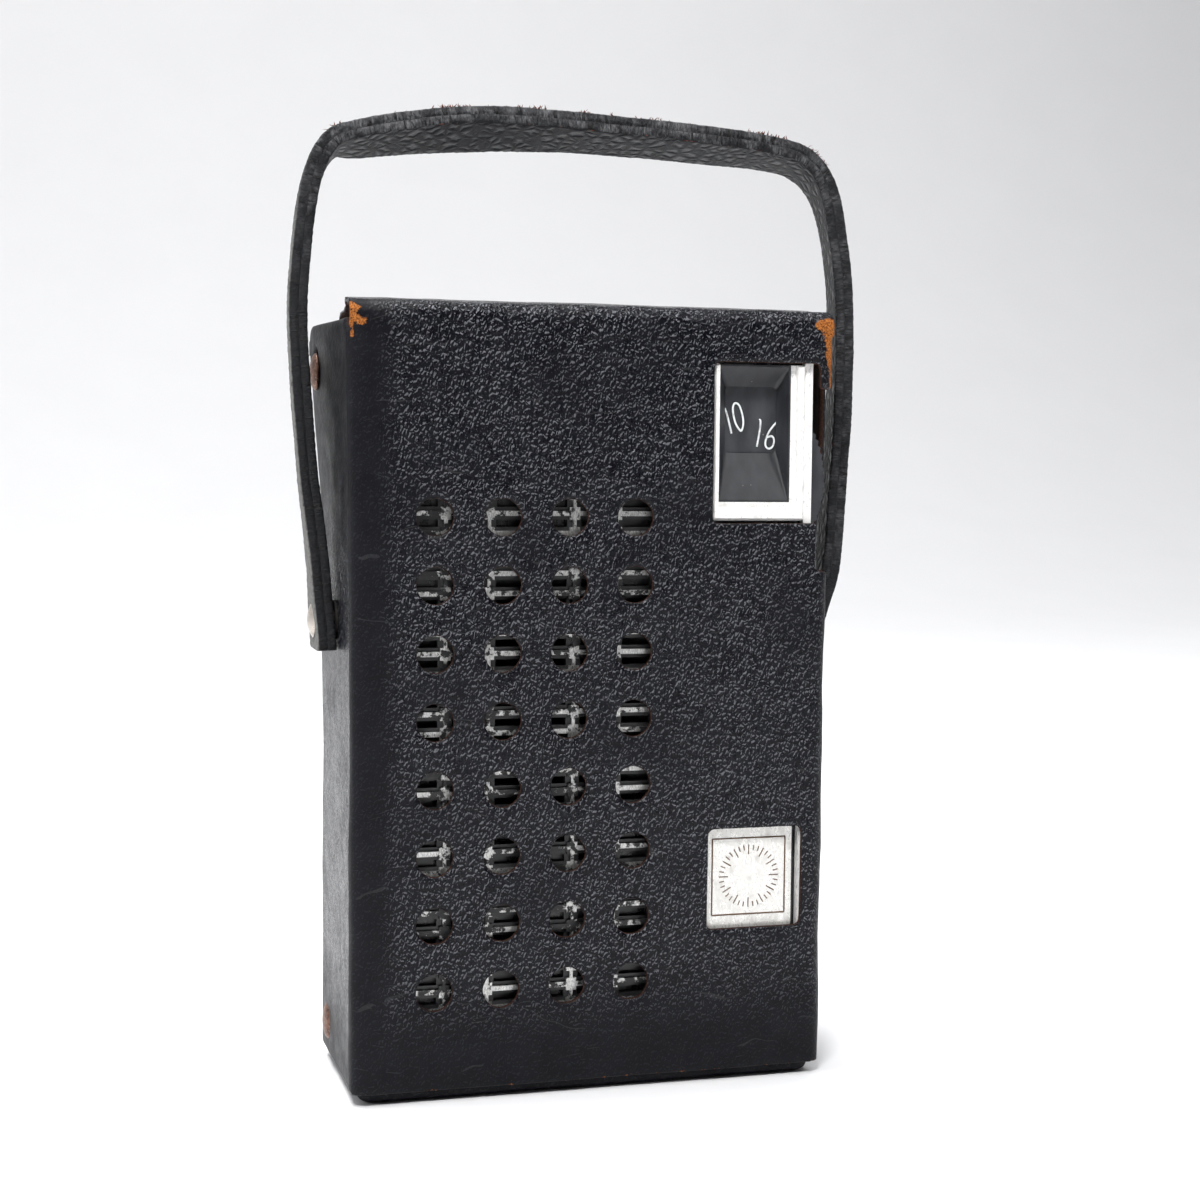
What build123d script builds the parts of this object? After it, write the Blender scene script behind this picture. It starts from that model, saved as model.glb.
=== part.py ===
from build123d import *
import math
import os

# Leather-cased pocket radio. Millimetres, +X to the right, front towards -Y, +Z up.
# The origin is at the middle of the flat bottom that the case stands on.

# ---- leather case ----
leather = 1.2            # thickness of one layer
case_width = 74.6        # over the side wings of the front piece
case_depth = 31.0        # front face to back face
case_height = 115.4      # top cut of the front piece, where the lid folds
fold_radius = 2.2        # outside radius of the upright folds
bottom_radius = 1.6      # outside radius of the tray's bottom edge
front_lift = 1.9         # height of the front piece's lower cut
wing_depth = 30.0        # how far the wings reach back from the front face
lip_height = 7.6         # tray lip turned up behind the front piece
wall_drop = 0.6          # tray walls end this far under the front piece's top

# ---- openings in the leather ----
hole_diameter = 5.5
hole_pitch_x = 10.19
hole_pitch_z = 10.16
hole_columns = 4
hole_rows = 8
first_hole_in = 12.5     # from the left side
first_hole_z = 16.7
dial_cut_x = (19.3, 2.3) # edges in from the right side
dial_cut_z = (28.4, 3.9) # edges down from the top cut
badge_cut_x = (19.2, 3.9)
badge_z = (24.0, 39.7)
thumb_cut_height = 28.0  # side notch for the tuning wheel
volume_cut_height = 19.0
wheel_clearance = 0.7    # leather to the sides of a thumb wheel

# ---- lid ----
hinge_gap = 0.3
lid_inset = 0.3          # lid's ends in from the sides
lid_rise = 4.0           # lid's front and back edge lines over the front piece
lid_crown = 5.6          # highest line of the domed lid over the front piece
lid_fold_radius = 2.4
lid_back_gap = 0.4
lid_back_drop = 3.0
tongue_width = 26.0
snap_drop = 11.4         # snap down from the top cut
tongue_over = 7.0        # tongue past the middle of the snap
snap_cap_radius = 5.6
snap_ring_radius = 4.2
snap_wall = 0.4
stud_radius = 2.0
stud_rise = 0.8

# ---- handle ----
pivot_height = 71.8
strap_ply = 1.45
strap_width = 12.0
strap_end_drop = 4.5
pin_radius = 1.55
running_clearance = 0.05
washer_thickness = 0.5
washer_radius = 2.9
side_play = 0.1
bow_out = 4.0            # how far the legs bow out from their ends
crown_rise = 35.0        # middle of the strap's top over the top cut
pin_head_radius = 2.8
pin_head_rise = 0.8

# ---- case rivets ----
rivet_y = 8.0
low_rivet = 7.0
top_rivet_drop = 4.8     # upper rivets down from the top cut
rivet_head_radius = 2.8
rivet_head_rise = 0.9
rivet_shank_radius = 1.3
clinch_radius = 2.6
clinch_thickness = 0.4

# ---- radio cabinet ----
cabinet_gap = 0.3        # cabinet to tray at each side
back_gap = 0.2
cabinet_front_gap = 0.2  # tray lip to cabinet front
cabinet_wall = 1.8
cabinet_over = 1.8       # cabinet top over the front piece's top cut
front_shell_depth = 14.9
cabinet_radius = 2.0
panel_in = 3.6           # grille insert in from the cabinet's left side
panel_width = 42.5
panel_lift = 8.0         # over the cabinet's bottom
panel_drop = 21.7        # under the cabinet's top
panel_thickness = 1.2
rib_rise = 0.5
rib_width = 0.75
rib_pitch_z = 3.0
rib_pitch_x = 6.6
rib_upright = 0.5
pad_size = (1.6, 1.9)
slot_size = (4.4, 1.1)
trim_bar = 1.3
trim_rise = 1.3
trim_sheet = 0.4
trim_wrap = 2.0          # how far the trim folds round the cabinet's sides
badge_margin = 0.6       # plate behind the leather at left, top and bottom
badge_gap = 1.0          # plate's right edge short of the cut
badge_rise = 0.9

# ---- tuning ----
tuning_radius = 16.4
tuning_reach = 0.9       # rim out past the side of the case
dial_behind = 0.2        # dial face behind the inside of the cabinet's front
wheel_thickness = 2.8
knurl_depth = 0.35
tuning_teeth = 90
shaft_radius = 1.5
bezel_in = 0.3           # bezel inside the leather cut
bezel_opening_x = (18.1, 6.2)            # edges in from the right side
bezel_opening_z = (25.2, 4.1)            # edges down from the top cut
bezel_rise = 1.9
bezel_step = 0.9
bezel_ledge = 0.8        # lower inner ledge at the right and the bottom
bezel_groove = 0.15      # bezel to the trim beside it
mask_window_x = (16.0, 7.6)
mask_window_z = (17.6, 7.4)
mask_gap = 0.3           # funnel to the dial behind it
dial_over = 2.0          # dial's top over the window's top edge
capacitor_side_gap = 2.6

# ---- volume ----
volume_lift = 15.6       # wheel's middle over the board's lower edge
volume_radius = 11.4
volume_reach = 0.6
volume_behind = 2.1
volume_thickness = 3.0
volume_teeth = 60
volume_body = 11.0

# ---- circuit board ----
board_behind = 6.2       # board behind the inside of the cabinet's front
board_thickness = 1.5
board_side_gap = 1.2
board_top_gap = 1.1
board_step_drop = 28.4   # lower edge of the upper part under the room's top
column_width = 14.0
board_over_battery = 2.9
boss_radius = 2.5
screw_radius = 1.1
screw_head_radius = 2.0
screw_head = 1.5

# ---- speaker ----
speaker_radius = 24.0
speaker_side_gap = 0.3
speaker_over_battery = 5.0
flange_width = 3.0
flange_thickness = 1.2
basket_depth = 6.2
basket_sheet = 0.8
yoke_radius = 13.0
magnet_radius = 11.0
magnet_depth = 6.5

# ---- battery ----
battery_size = (48.5, 17.5, 26.5)
battery_side_gap = 2.0
battery_front_gap = 1.6
lead_radius = 0.6

# ---- worked out from the above ----
half_width = case_width / 2
front = -case_depth / 2
back = case_depth / 2
tray_half = half_width - leather
inner_half = tray_half - leather
lid_half_width = half_width - lid_inset
front_inside = front + leather
lip_inside = front_inside + leather
back_inside = back - leather
wall_top = case_height - wall_drop
first_hole_x = -half_width + first_hole_in
dial_cut = (half_width - dial_cut_x[0], half_width - dial_cut_x[1])
dial_cut += (case_height - dial_cut_z[0], case_height - dial_cut_z[1])
badge_cut = (half_width - badge_cut_x[0], half_width - badge_cut_x[1]) + badge_z
snap_height = case_height - snap_drop
tongue_end = snap_height - tongue_over
crown_height = case_height + crown_rise
rivet_heights = (low_rivet, case_height - top_rivet_drop)
cabinet_half = inner_half - cabinet_gap
cabinet_front_y = lip_inside + cabinet_front_gap
cabinet_back_y = back_inside - back_gap
cabinet_bottom = leather
cabinet_top = case_height + cabinet_over
seam_y = cabinet_front_y + front_shell_depth
room_half = cabinet_half - cabinet_wall
room_front = cabinet_front_y + cabinet_wall
room_back = cabinet_back_y - cabinet_wall
room_bottom = cabinet_bottom + cabinet_wall
room_top = cabinet_top - cabinet_wall
panel = (-cabinet_half + panel_in, -cabinet_half + panel_in + panel_width)
panel += (cabinet_bottom + panel_lift, cabinet_top - panel_drop)
strap_inner_x = half_width + washer_thickness + side_play
strap_middle_x = strap_inner_x + strap_ply
strap_outer_x = strap_middle_x + strap_ply
bezel = (dial_cut[0] + bezel_in, cabinet_half - trim_bar - bezel_groove)
bezel += (dial_cut[2] + bezel_in, case_height - bezel_opening_z[1])
bezel_opening = (half_width - bezel_opening_x[0], half_width - bezel_opening_x[1])
bezel_opening += (case_height - bezel_opening_z[0], case_height - bezel_opening_z[1])
mask_window = (half_width - mask_window_x[0], half_width - mask_window_x[1])
mask_window += (case_height - mask_window_z[0], case_height - mask_window_z[1])
tuning_x = half_width + tuning_reach - tuning_radius
tuning_z = mask_window[3] + dial_over - tuning_radius
tuning_y = (room_front + dial_behind, room_front + dial_behind + wheel_thickness)
mask_back = tuning_y[0] - mask_gap
volume_x = half_width + volume_reach - volume_radius
capacitor_size = 2 * (room_half - tuning_x - capacitor_side_gap)
volume_y = (room_front + volume_behind, room_front + volume_behind + volume_thickness)
thumb_cut_z = (tuning_z - thumb_cut_height / 2, tuning_z + thumb_cut_height / 2)
thumb_cut_y = (front - 1, tuning_y[1] + wheel_clearance)
volume_cut_y = (volume_y[0] - wheel_clearance, volume_y[1] + wheel_clearance)
battery_x = -room_half + battery_side_gap
battery_end = battery_x + battery_size[0]
battery_y = room_front + battery_front_gap
battery_top = room_bottom + battery_size[2]
speaker_x = -room_half + speaker_radius + speaker_side_gap
speaker_z = battery_top + speaker_over_battery + speaker_radius
board_y = (room_front + board_behind, room_front + board_behind + board_thickness)
board_back = board_y[1]
board_edge = room_half - board_side_gap
board_column = board_edge - column_width
board_top = room_top - board_top_gap
board_step = room_top - board_step_drop
board_bottom = battery_top + board_over_battery
volume_z = board_bottom + volume_lift
screw_places = (
    (-board_edge + 3.1, board_top - 3.9), (-board_edge + 3.1, board_step + 3.5),
    (1.5, board_step + 3.5), (board_edge - 3.1, board_step - 16.0),
    (board_column + 2.9, board_bottom + 2.5),
)
rod_height = board_top - 4.3
rod_depth = board_back + 8.4
rod_span = (-24.0, 26.0)
rod_radius = 4.0


def block(x, y, z):
    """Box between the limits given as (low, high) pairs."""
    size = Box(x[1] - x[0], y[1] - y[0], z[1] - z[0])
    return Pos((x[0] + x[1]) / 2, (y[0] + y[1]) / 2, (z[0] + z[1]) / 2) * size


def rod_y(x, z, y, radius):
    """Cylinder along Y between two depths."""
    return Pos(x, (y[0] + y[1]) / 2, z) * Rot(90, 0, 0) * Cylinder(radius, y[1] - y[0])


def rod_x(y, z, x, radius):
    """Cylinder along X between two places."""
    return Pos((x[0] + x[1]) / 2, y, z) * Rot(0, 90, 0) * Cylinder(radius, x[1] - x[0])


def turned(outline):
    """Solid of revolution about Z from (radius, height) points."""
    points = [(radius, 0, height) for radius, height in outline]
    return revolve(make_face(Polyline(*points, close=True)), Axis.Z)


def turned_y(outline, x, z):
    """Turned solid whose axis runs along Y; heights are Y values."""
    return Pos(x, 0, z) * Rot(-90, 0, 0) * turned(outline)


def turned_x(outline, y, z):
    """Turned solid whose axis runs along X; heights are X values."""
    return Pos(0, y, z) * Rot(0, 90, 0) * turned(outline)


def dome(radius, rise, base):
    """Low dome standing on the height base, axis Z."""
    ball = (radius * radius + rise * rise) / (2 * rise)
    cap = Pos(0, 0, base + rise - ball) * Sphere(ball)
    return cap & Pos(0, 0, base + rise / 2) * Box(4 * radius, 4 * radius, rise)


def both_sides(piece):
    """The piece and its mirror image about the middle plane."""
    return [piece, mirror(piece, about=Plane.YZ)]


def upright_shell(x, y, z, radius):
    """Solid block with rounded upright edges."""
    plan = RectangleRounded(x[1] - x[0], y[1] - y[0], radius)
    place = Pos((x[0] + x[1]) / 2, (y[0] + y[1]) / 2, z[0])
    return place * extrude(plan, z[1] - z[0])


# ---- leather ----

def hole_places():
    places = []
    for column in range(hole_columns):
        for row in range(hole_rows):
            place = (first_hole_x + column * hole_pitch_x, first_hole_z + row * hole_pitch_z)
            places.append(place)
    return places


def thumb_notch(low_x):
    """Space cut out of the right fold for the tuning wheel."""
    return block((low_x, half_width + 1), thumb_cut_y, thumb_cut_z)


def volume_notch():
    """Window in the right side for the volume wheel."""
    height = (volume_z - volume_cut_height / 2, volume_z + volume_cut_height / 2)
    return block((inner_half - 1, half_width + 1), volume_cut_y, height)


def rivet_holes(radius):
    bores = []
    for height in rivet_heights:
        bores.append(rod_x(rivet_y, height, (-half_width - 1, half_width + 1), radius))
    return bores


def clinch_seats():
    """Shallow seats inside the tray for the clinched ends."""
    seats = []
    places = [(rivet_y, height) for height in rivet_heights] + [(0, pivot_height)]
    for y, z in places:
        seat = rod_x(y, z, (inner_half - 1, inner_half + clinch_thickness), clinch_radius)
        seats += both_sides(seat)
    return seats


def case_front():
    z = (front_lift, case_height)
    outer = upright_shell((-half_width, half_width), (front, back), z, fold_radius)
    inner_radius = fold_radius - leather
    hollow_y = (front_inside, back + 2 * fold_radius)
    outer -= upright_shell((-tray_half, tray_half), hollow_y, z, inner_radius)
    outer -= block((-half_width - 1, half_width + 1), (front + wing_depth, back + 1), z)
    through = (front - 1, front_inside + 1)
    outer -= [rod_y(x, z_hole, through, hole_diameter / 2) for x, z_hole in hole_places()]
    outer -= block(dial_cut[:2], through, dial_cut[2:])
    outer -= block(badge_cut[:2], through, badge_cut[2:])
    outer -= thumb_notch(dial_cut[1])
    outer -= volume_notch()
    outer -= rivet_holes(rivet_shank_radius)
    outer -= rod_x(0, pivot_height, (-half_width - 1, half_width + 1), pin_radius)
    return outer


def case_tray():
    z = (0, wall_top)
    tray = upright_shell((-tray_half, tray_half), (front_inside, back), z, fold_radius)
    tray = fillet(tray.faces().sort_by(Axis.Z)[0].edges(), bottom_radius)
    inner_radius = fold_radius - leather
    hollow_z = (leather, wall_top + 1)
    hollow_y = (lip_inside, back_inside)
    tray -= upright_shell((-inner_half, inner_half), hollow_y, hollow_z, inner_radius)
    open_front = (front_inside - 1, lip_inside + inner_radius)
    tray -= block((-inner_half, inner_half), open_front, (lip_height, wall_top + 1))
    tray -= block((inner_half - 1, half_width), thumb_cut_y, (thumb_cut_z[0], dial_cut[3]))
    tray -= volume_notch()
    tray -= rivet_holes(rivet_shank_radius)
    tray -= rod_x(0, pivot_height, (-half_width - 1, half_width + 1), pin_radius)
    tray -= clinch_seats()
    tray -= rod_y(0, snap_height, (back_inside - 1, back + 1), stud_radius - 0.6)
    tray -= rod_y(0, snap_height, (back_inside - 1, back_inside + clinch_thickness), clinch_radius)
    return tray


def case_rivets():
    flange = inner_half + clinch_thickness
    outline = [(0, inner_half), (clinch_radius, inner_half), (clinch_radius, flange)]
    outline += [(rivet_shank_radius, flange), (rivet_shank_radius, half_width), (0, half_width)]
    rivets = []
    for height in rivet_heights:
        rivet = turned_x(outline, rivet_y, height)
        head = dome(rivet_head_radius, rivet_head_rise, half_width)
        rivet += Pos(0, rivet_y, height) * Rot(0, 90, 0) * head
        rivets += both_sides(rivet)
    return Compound(rivets)


def top_lid():
    outer_back = back + lid_back_gap + leather
    low = case_height + hinge_gap
    edge = case_height + lid_rise
    points = [(front, low), (front, edge), (0, case_height + lid_crown)]
    points += [(outer_back, edge), (outer_back, case_height - lid_back_drop)]
    path = FilletPolyline(*points, radius=[lid_fold_radius, 60, lid_fold_radius])
    section = make_face(path.offset_2d(leather, side=Side.RIGHT, closed=True))
    lid = extrude(Plane.YZ * section, lid_half_width, both=True)
    tongue = tongue_blank(outer_back)
    lid += tongue
    lid -= rod_y(0, snap_height, (back, outer_back + 1), snap_ring_radius)
    return lid


def tongue_blank(outer_back):
    """Round-ended tongue that hangs down the back from the lid."""
    top = case_height - lid_back_drop + 1
    height = top - tongue_end
    plan = RectangleRounded(tongue_width, 2 * height, tongue_width / 4)
    half = plan & Pos(0, -height / 2) * Rectangle(tongue_width, height)
    sheet = extrude(Plane.XZ * half, leather)
    return Pos(0, outer_back, top) * sheet


def snap_cap():
    inside = back + lid_back_gap
    outside = inside + leather
    ring = snap_ring_radius - snap_wall
    outline = [(0, outside), (snap_cap_radius, outside), (snap_cap_radius, outside + 0.4)]
    outline += [(snap_cap_radius - 1.2, outside + 1.0), (0, outside + 1.3)]
    cap = turned_y(outline, 0, snap_height)
    skirt = [(ring, inside), (snap_ring_radius, inside), (snap_ring_radius, outside), (ring, outside)]
    return cap + turned_y(skirt, 0, snap_height)


def snap_stud():
    flange = back_inside + clinch_thickness
    shank = stud_radius - 0.6
    outline = [(0, back_inside), (clinch_radius, back_inside), (clinch_radius, flange)]
    outline += [(shank, flange), (shank, back), (stud_radius, back)]
    outline += [(stud_radius - 0.3, back + stud_rise), (0, back + stud_rise)]
    return turned_y(outline, 0, snap_height)


# ---- handle ----

def strap_path():
    """Line between the two plies, seen from the front."""
    low = pivot_height - strap_end_drop
    half = [
        (strap_middle_x, low),
        (strap_middle_x, pivot_height + 7.5),
        (strap_middle_x + bow_out, pivot_height + 32.5),
        (strap_middle_x + bow_out - 0.2, pivot_height + 53.5),
        (strap_middle_x + 1.1, crown_height - 2.8),
    ]
    other = [(-x, z) for x, z in reversed(half)]
    radii = [60, 80, 100, 10]
    return FilletPolyline(*half, (0, crown_height), *other, radius=radii + [200] + radii[::-1])


def strap_ply_solid(side):
    face = make_face(strap_path().offset_2d(strap_ply, side=side, closed=True))
    ply = extrude(Plane.XZ * face, strap_width / 2, both=True)
    reach = strap_outer_x + 5
    bore = pin_radius + running_clearance
    return ply - rod_x(0, pivot_height, (-reach, reach), bore)


def handle_washers():
    place = (half_width, half_width + washer_thickness)
    washer = rod_x(0, pivot_height, place, washer_radius)
    washer -= rod_x(0, pivot_height, place, pin_radius)
    return Compound(both_sides(washer))


def handle_pins():
    flange = inner_half + clinch_thickness
    seat = strap_outer_x + side_play
    outline = [(0, inner_half), (clinch_radius, inner_half), (clinch_radius, flange)]
    outline += [(pin_radius, flange), (pin_radius, seat), (0, seat)]
    pin = turned_x(outline, 0, pivot_height)
    pin += Pos(0, 0, pivot_height) * Rot(0, 90, 0) * dome(pin_head_radius, pin_head_rise, seat)
    return Compound(both_sides(pin))


# ---- cabinet ----

def wheel_slot(x, z, radius, y):
    """Slot through the right wall that clears a thumb wheel."""
    reach = room_half - x
    half_chord = math.sqrt(radius * radius - reach * reach) + 0.8
    height = (z - half_chord, z + half_chord)
    return block((room_half - 0.5, cabinet_half + 1), (y[0] - 0.5, y[1] + 0.5), height)


def wheel_slots():
    tuning = wheel_slot(tuning_x, tuning_z, tuning_radius, tuning_y)
    return [tuning, wheel_slot(volume_x, volume_z, volume_radius, volume_y)]


def rounded_block(half, y, z, radius):
    """Block about the middle plane with its edges along Y rounded."""
    plain = block((-half, half), y, z)
    return fillet(plain.edges().filter_by(Axis.Y), radius)


def trim_band(y, width):
    """Band of the given width round the sides and top of the cabinet."""
    z = (cabinet_bottom, cabinet_top)
    band = rounded_block(cabinet_half, y, z, cabinet_radius)
    inside = cabinet_half - width
    band -= rounded_block(inside, y, (cabinet_bottom, cabinet_top - width), cabinet_radius - trim_sheet)
    return band - block((-half_width, half_width), y, (cabinet_bottom - 1, panel[2]))


def cabinet_front():
    y = (cabinet_front_y, seam_y)
    shell = block((-cabinet_half, cabinet_half), y, (cabinet_bottom, cabinet_top))
    sharp = shell.edges().filter_by(Axis.Y) + shell.faces().sort_by(Axis.Y)[0].edges()
    shell = fillet(sharp, cabinet_radius)
    shell -= trim_band((cabinet_front_y, cabinet_front_y + trim_wrap), trim_sheet)
    shell -= rounded_block(room_half, (room_front, seam_y + 1), (room_bottom, room_top), 0.8)
    shell -= block(panel[:2], (cabinet_front_y - 1, cabinet_front_y + panel_thickness), panel[2:])
    through = (cabinet_front_y - 1, room_front + 1)
    shell -= rod_y(speaker_x, speaker_z, through, speaker_radius - flange_width)
    shell -= block(bezel_opening[:2], through, bezel_opening[2:])
    shell -= wheel_slots()
    for bx, bz in screw_places:
        shell += rod_y(bx, bz, (room_front, board_y[0]), boss_radius)
        shell -= rod_y(bx, bz, (room_front + 0.5, board_y[0] + 1), screw_radius)
    return shell


def cabinet_back():
    x = (-cabinet_half, cabinet_half)
    shell = block(x, (seam_y, cabinet_back_y), (cabinet_bottom, cabinet_top))
    sharp = shell.edges().filter_by(Axis.Y) + shell.faces().sort_by(Axis.Y)[-1].edges()
    shell = fillet(sharp, cabinet_radius)
    return shell - rounded_block(room_half, (seam_y - 1, room_back), (room_bottom, room_top), 0.8)


def chrome_trim():
    """Bright edging on the cabinet's front edges, with a lip before its face."""
    trim = trim_band((cabinet_front_y, cabinet_front_y + trim_wrap), trim_sheet)
    trim += trim_band((cabinet_front_y - trim_rise, cabinet_front_y), trim_bar)
    return trim - wheel_slots()


def panel_grid():
    """Centres of the grid cells between the ribs of the grille."""
    x0, x1, z0, z1 = panel
    columns = int((x1 - x0) / rib_pitch_x)
    rows = int((z1 - z0) / rib_pitch_z)
    return GridLocations(rib_pitch_x, rib_pitch_z, columns, rows)


def grille_plate():
    x0, x1, z0, z1 = panel
    sheet = Rectangle(x1 - x0, z1 - z0)
    sheet -= [place * Rectangle(*slot_size) for place in panel_grid()]
    plate = extrude(Plane.XZ * sheet, -panel_thickness)
    return Pos((x0 + x1) / 2, cabinet_front_y, (z0 + z1) / 2) * plate


def grille_ribs():
    x0, x1, z0, z1 = panel
    sheet = Rectangle(x1 - x0, z1 - z0)
    cell = (rib_pitch_x - rib_upright, rib_pitch_z - rib_width)
    corner_x = (pad_size[0] - rib_upright) / 2
    corner_z = (pad_size[1] - rib_width) / 2
    opening = Rectangle(*cell)
    for side_x in (-1, 1):
        for side_z in (-1, 1):
            corner = Pos(side_x * cell[0] / 2, side_z * cell[1] / 2)
            opening -= corner * Rectangle(2 * corner_x, 2 * corner_z)
    sheet -= [place * opening for place in panel_grid()]
    ribs = extrude(Plane.XZ * sheet, rib_rise)
    return Pos((x0 + x1) / 2, cabinet_front_y, (z0 + z1) / 2) * ribs


def badge_plate():
    x0, x1, z0, z1 = badge_cut
    y = (cabinet_front_y - badge_rise, cabinet_front_y)
    plate = block((x0 - badge_margin, x1 - badge_gap), y, (z0 - badge_margin, z1 + badge_margin))
    return fillet(plate.edges().filter_by(Axis.Y), 0.8)


# ---- tuning and volume ----

def dial_bezel():
    """Bright frame at the left, bottom and right of the dial, open at the top."""
    x0, x1, z0, z1 = bezel
    o0, o1, o2, o3 = bezel_opening
    step_y = (cabinet_front_y - bezel_step, cabinet_front_y)
    base = block((x0, x1), step_y, (z0, z1)) - block((o0, o1), (front - 1, 0), (o2, o3 + 1))
    top_y = (cabinet_front_y - bezel_rise, cabinet_front_y - bezel_step)
    ridge = block((x0 + 0.1, x1), top_y, (z0 + 0.2, z1))
    ridge = chamfer(ridge.faces().sort_by(Axis.Y)[0].edges(), 0.25)
    ledge = block((o0, o1 + bezel_ledge), (front - 1, 0), (o2 - bezel_ledge, o3 + 1))
    return base + (ridge - ledge)


def dial_mask():
    """Black funnel that narrows down to the window over the dial."""
    x0, x1, z0, z1 = bezel_opening
    collar = block((x0, x1), (cabinet_front_y - bezel_step, mask_back), (z0, z1))
    wide = RectangleRounded(x1 - x0 - 0.6, z1 - z0 - 0.6, 0.3)
    wide_at = Pos((x0 + x1) / 2, cabinet_front_y - bezel_step - 0.01, (z0 + z1) / 2)
    w0, w1, w2, w3 = mask_window
    narrow = RectangleRounded(w1 - w0, w3 - w2, 0.8)
    narrow_at = Pos((w0 + w1) / 2, mask_back + 0.01, (w2 + w3) / 2)
    funnel = loft([wide_at * (Plane.XZ * wide), narrow_at * (Plane.XZ * narrow)])
    return collar - funnel


def knurled_wheel(x, z, y, radius, teeth):
    """Thumb wheel with a serrated rim, axis along Y."""
    points = []
    for step in range(2 * teeth):
        reach = radius if step % 2 else radius - knurl_depth
        angle = math.pi * step / teeth
        points.append((reach * math.cos(angle), reach * math.sin(angle)))
    rim = extrude(Plane.XZ * make_face(Polyline(*points, close=True)), -(y[1] - y[0]))
    wheel = Pos(x, y[0], z) * rim
    wheel -= rod_y(x, z, (y[0] + 1.0, y[1] + 1), shaft_radius)
    wheel -= rod_y(x, z, (y[0] - 1, y[0] + 0.6), screw_head_radius)
    wheel -= rod_y(x, z, (y[0], y[0] + 1.1), screw_radius)
    return wheel


def wheel_shaft(x, z, y):
    """Shaft from the wheel back through the board into its control."""
    shaft = rod_y(x, z, (y[0] + 1.0, board_back + 3.0), shaft_radius)
    return shaft - rod_y(x, z, (y[0] - 1, y[0] + 4.0), screw_radius)


def wheel_screw(x, z, y):
    head = rod_y(x, z, (y[0], y[0] + 0.6), screw_head_radius)
    head -= block((x - 1.6, x + 1.6), (y[0] - 1, y[0] + 0.3), (z - 0.25, z + 0.25))
    return head + rod_y(x, z, (y[0] + 0.6, y[0] + 4.0), screw_radius)


def control_body(x, z, size, depth):
    """Square control behind the board with a bore for its shaft."""
    half = size / 2
    body = block((x - half, x + half), (board_back, board_back + depth), (z - half, z + half))
    body = fillet(body.edges().filter_by(Axis.Y), 1.0)
    bore = shaft_radius + running_clearance
    return body - rod_y(x, z, (board_back - 1, board_back + 3.0 + running_clearance), bore)


# ---- inside the cabinet ----

def circuit_board():
    upper = block((-board_edge, board_edge), board_y, (board_step, board_top))
    column = block((board_column, board_edge), board_y, (board_bottom, board_step))
    board = upper + column
    board -= [rod_y(x, z, board_y, screw_radius) for x, z in screw_places]
    for x, z in ((tuning_x, tuning_z), (volume_x, volume_z)):
        board -= rod_y(x, z, board_y, shaft_radius + 0.6)
    return board


def board_screws():
    screws = []
    for x, z in screw_places:
        screw = rod_y(x, z, (board_back, board_back + screw_head), screw_head_radius)
        screw -= block((x - 3, x + 3), (board_back + 1.0, board_back + 2), (z - 0.25, z + 0.25))
        screw += rod_y(x, z, (room_front + 1.5, board_back), screw_radius)
        screws.append(screw)
    return Compound(screws)


def row_of_cans():
    cans = []
    for index in range(3):
        x = -17.0 + 11.0 * index
        z = board_top - 14.9
        can = block((x - 5, x + 5), (board_back, board_back + 11.5), (z - 5, z + 5))
        can = fillet(can.edges().filter_by(Axis.Y), 1.0)
        cans.append(can - rod_y(x, z, (board_back + 10.5, board_back + 12), 1.8))
    return Compound(cans)


def audio_transformers():
    parts = []
    x = board_edge - 7.1
    for z in (board_step - 7.5, board_step - 24.0):
        core = block((x - 6.3, x + 6.3), (board_back, board_back + 10.0), (z - 5.5, z + 5.5))
        coil = block((x - 4.3, x + 4.3), (board_back, board_back + 11.6), (z - 3.5, z + 3.5))
        parts.append(core + coil)
    return Compound(parts)


def cylinders(places, radius, height):
    """Upright round components that stand on the board."""
    return Compound([rod_y(x, z, (board_back, board_back + height), radius) for x, z in places])


def transistors():
    places = [(-23.0 + 6.5 * index, board_step + 3.3) for index in range(4)]
    places += [(board_edge - 3.0, board_bottom + 5.2), (board_edge - 9.6, board_bottom + 7.6)]
    return cylinders(places, 2.3, 5.2)


def electrolytic_capacitors():
    x = -board_edge + 4.0
    return cylinders([(x, board_top - 11.5), (x, board_top - 18.3)], 3.0, 10.5)


def resistors():
    return cylinders([(12.1, board_step + 1.0 + 4.0 * index) for index in range(5)], 0.9, 7.5)


def ferrite_rod():
    return rod_x(rod_depth, rod_height, rod_span, rod_radius)


def antenna_coil():
    coil = rod_x(rod_depth, rod_height, (-14.0, 2.0), rod_radius + 0.9)
    return coil - rod_x(rod_depth, rod_height, (-15.0, 3.0), rod_radius)


def rod_holders():
    holders = []
    for x in (-20.0, 21.0):
        y = (board_back, rod_depth + 2.5)
        holder = block((x - 1.5, x + 1.5), y, (rod_height - 4.6, rod_height + 3.4))
        holders.append(holder - rod_x(rod_depth, rod_height, (x - 2, x + 2), rod_radius))
    return Compound(holders)


def basket_outline(top_radius, low_radius, top_y, low_y, sheet):
    """Tapered wall of a speaker frame or cone as (radius, y) points."""
    outer = [(top_radius, top_y), (top_radius, top_y + sheet), (low_radius, low_y)]
    return outer + [(low_radius - sheet, low_y), (top_radius - 1.5 * sheet, top_y)]


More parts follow.
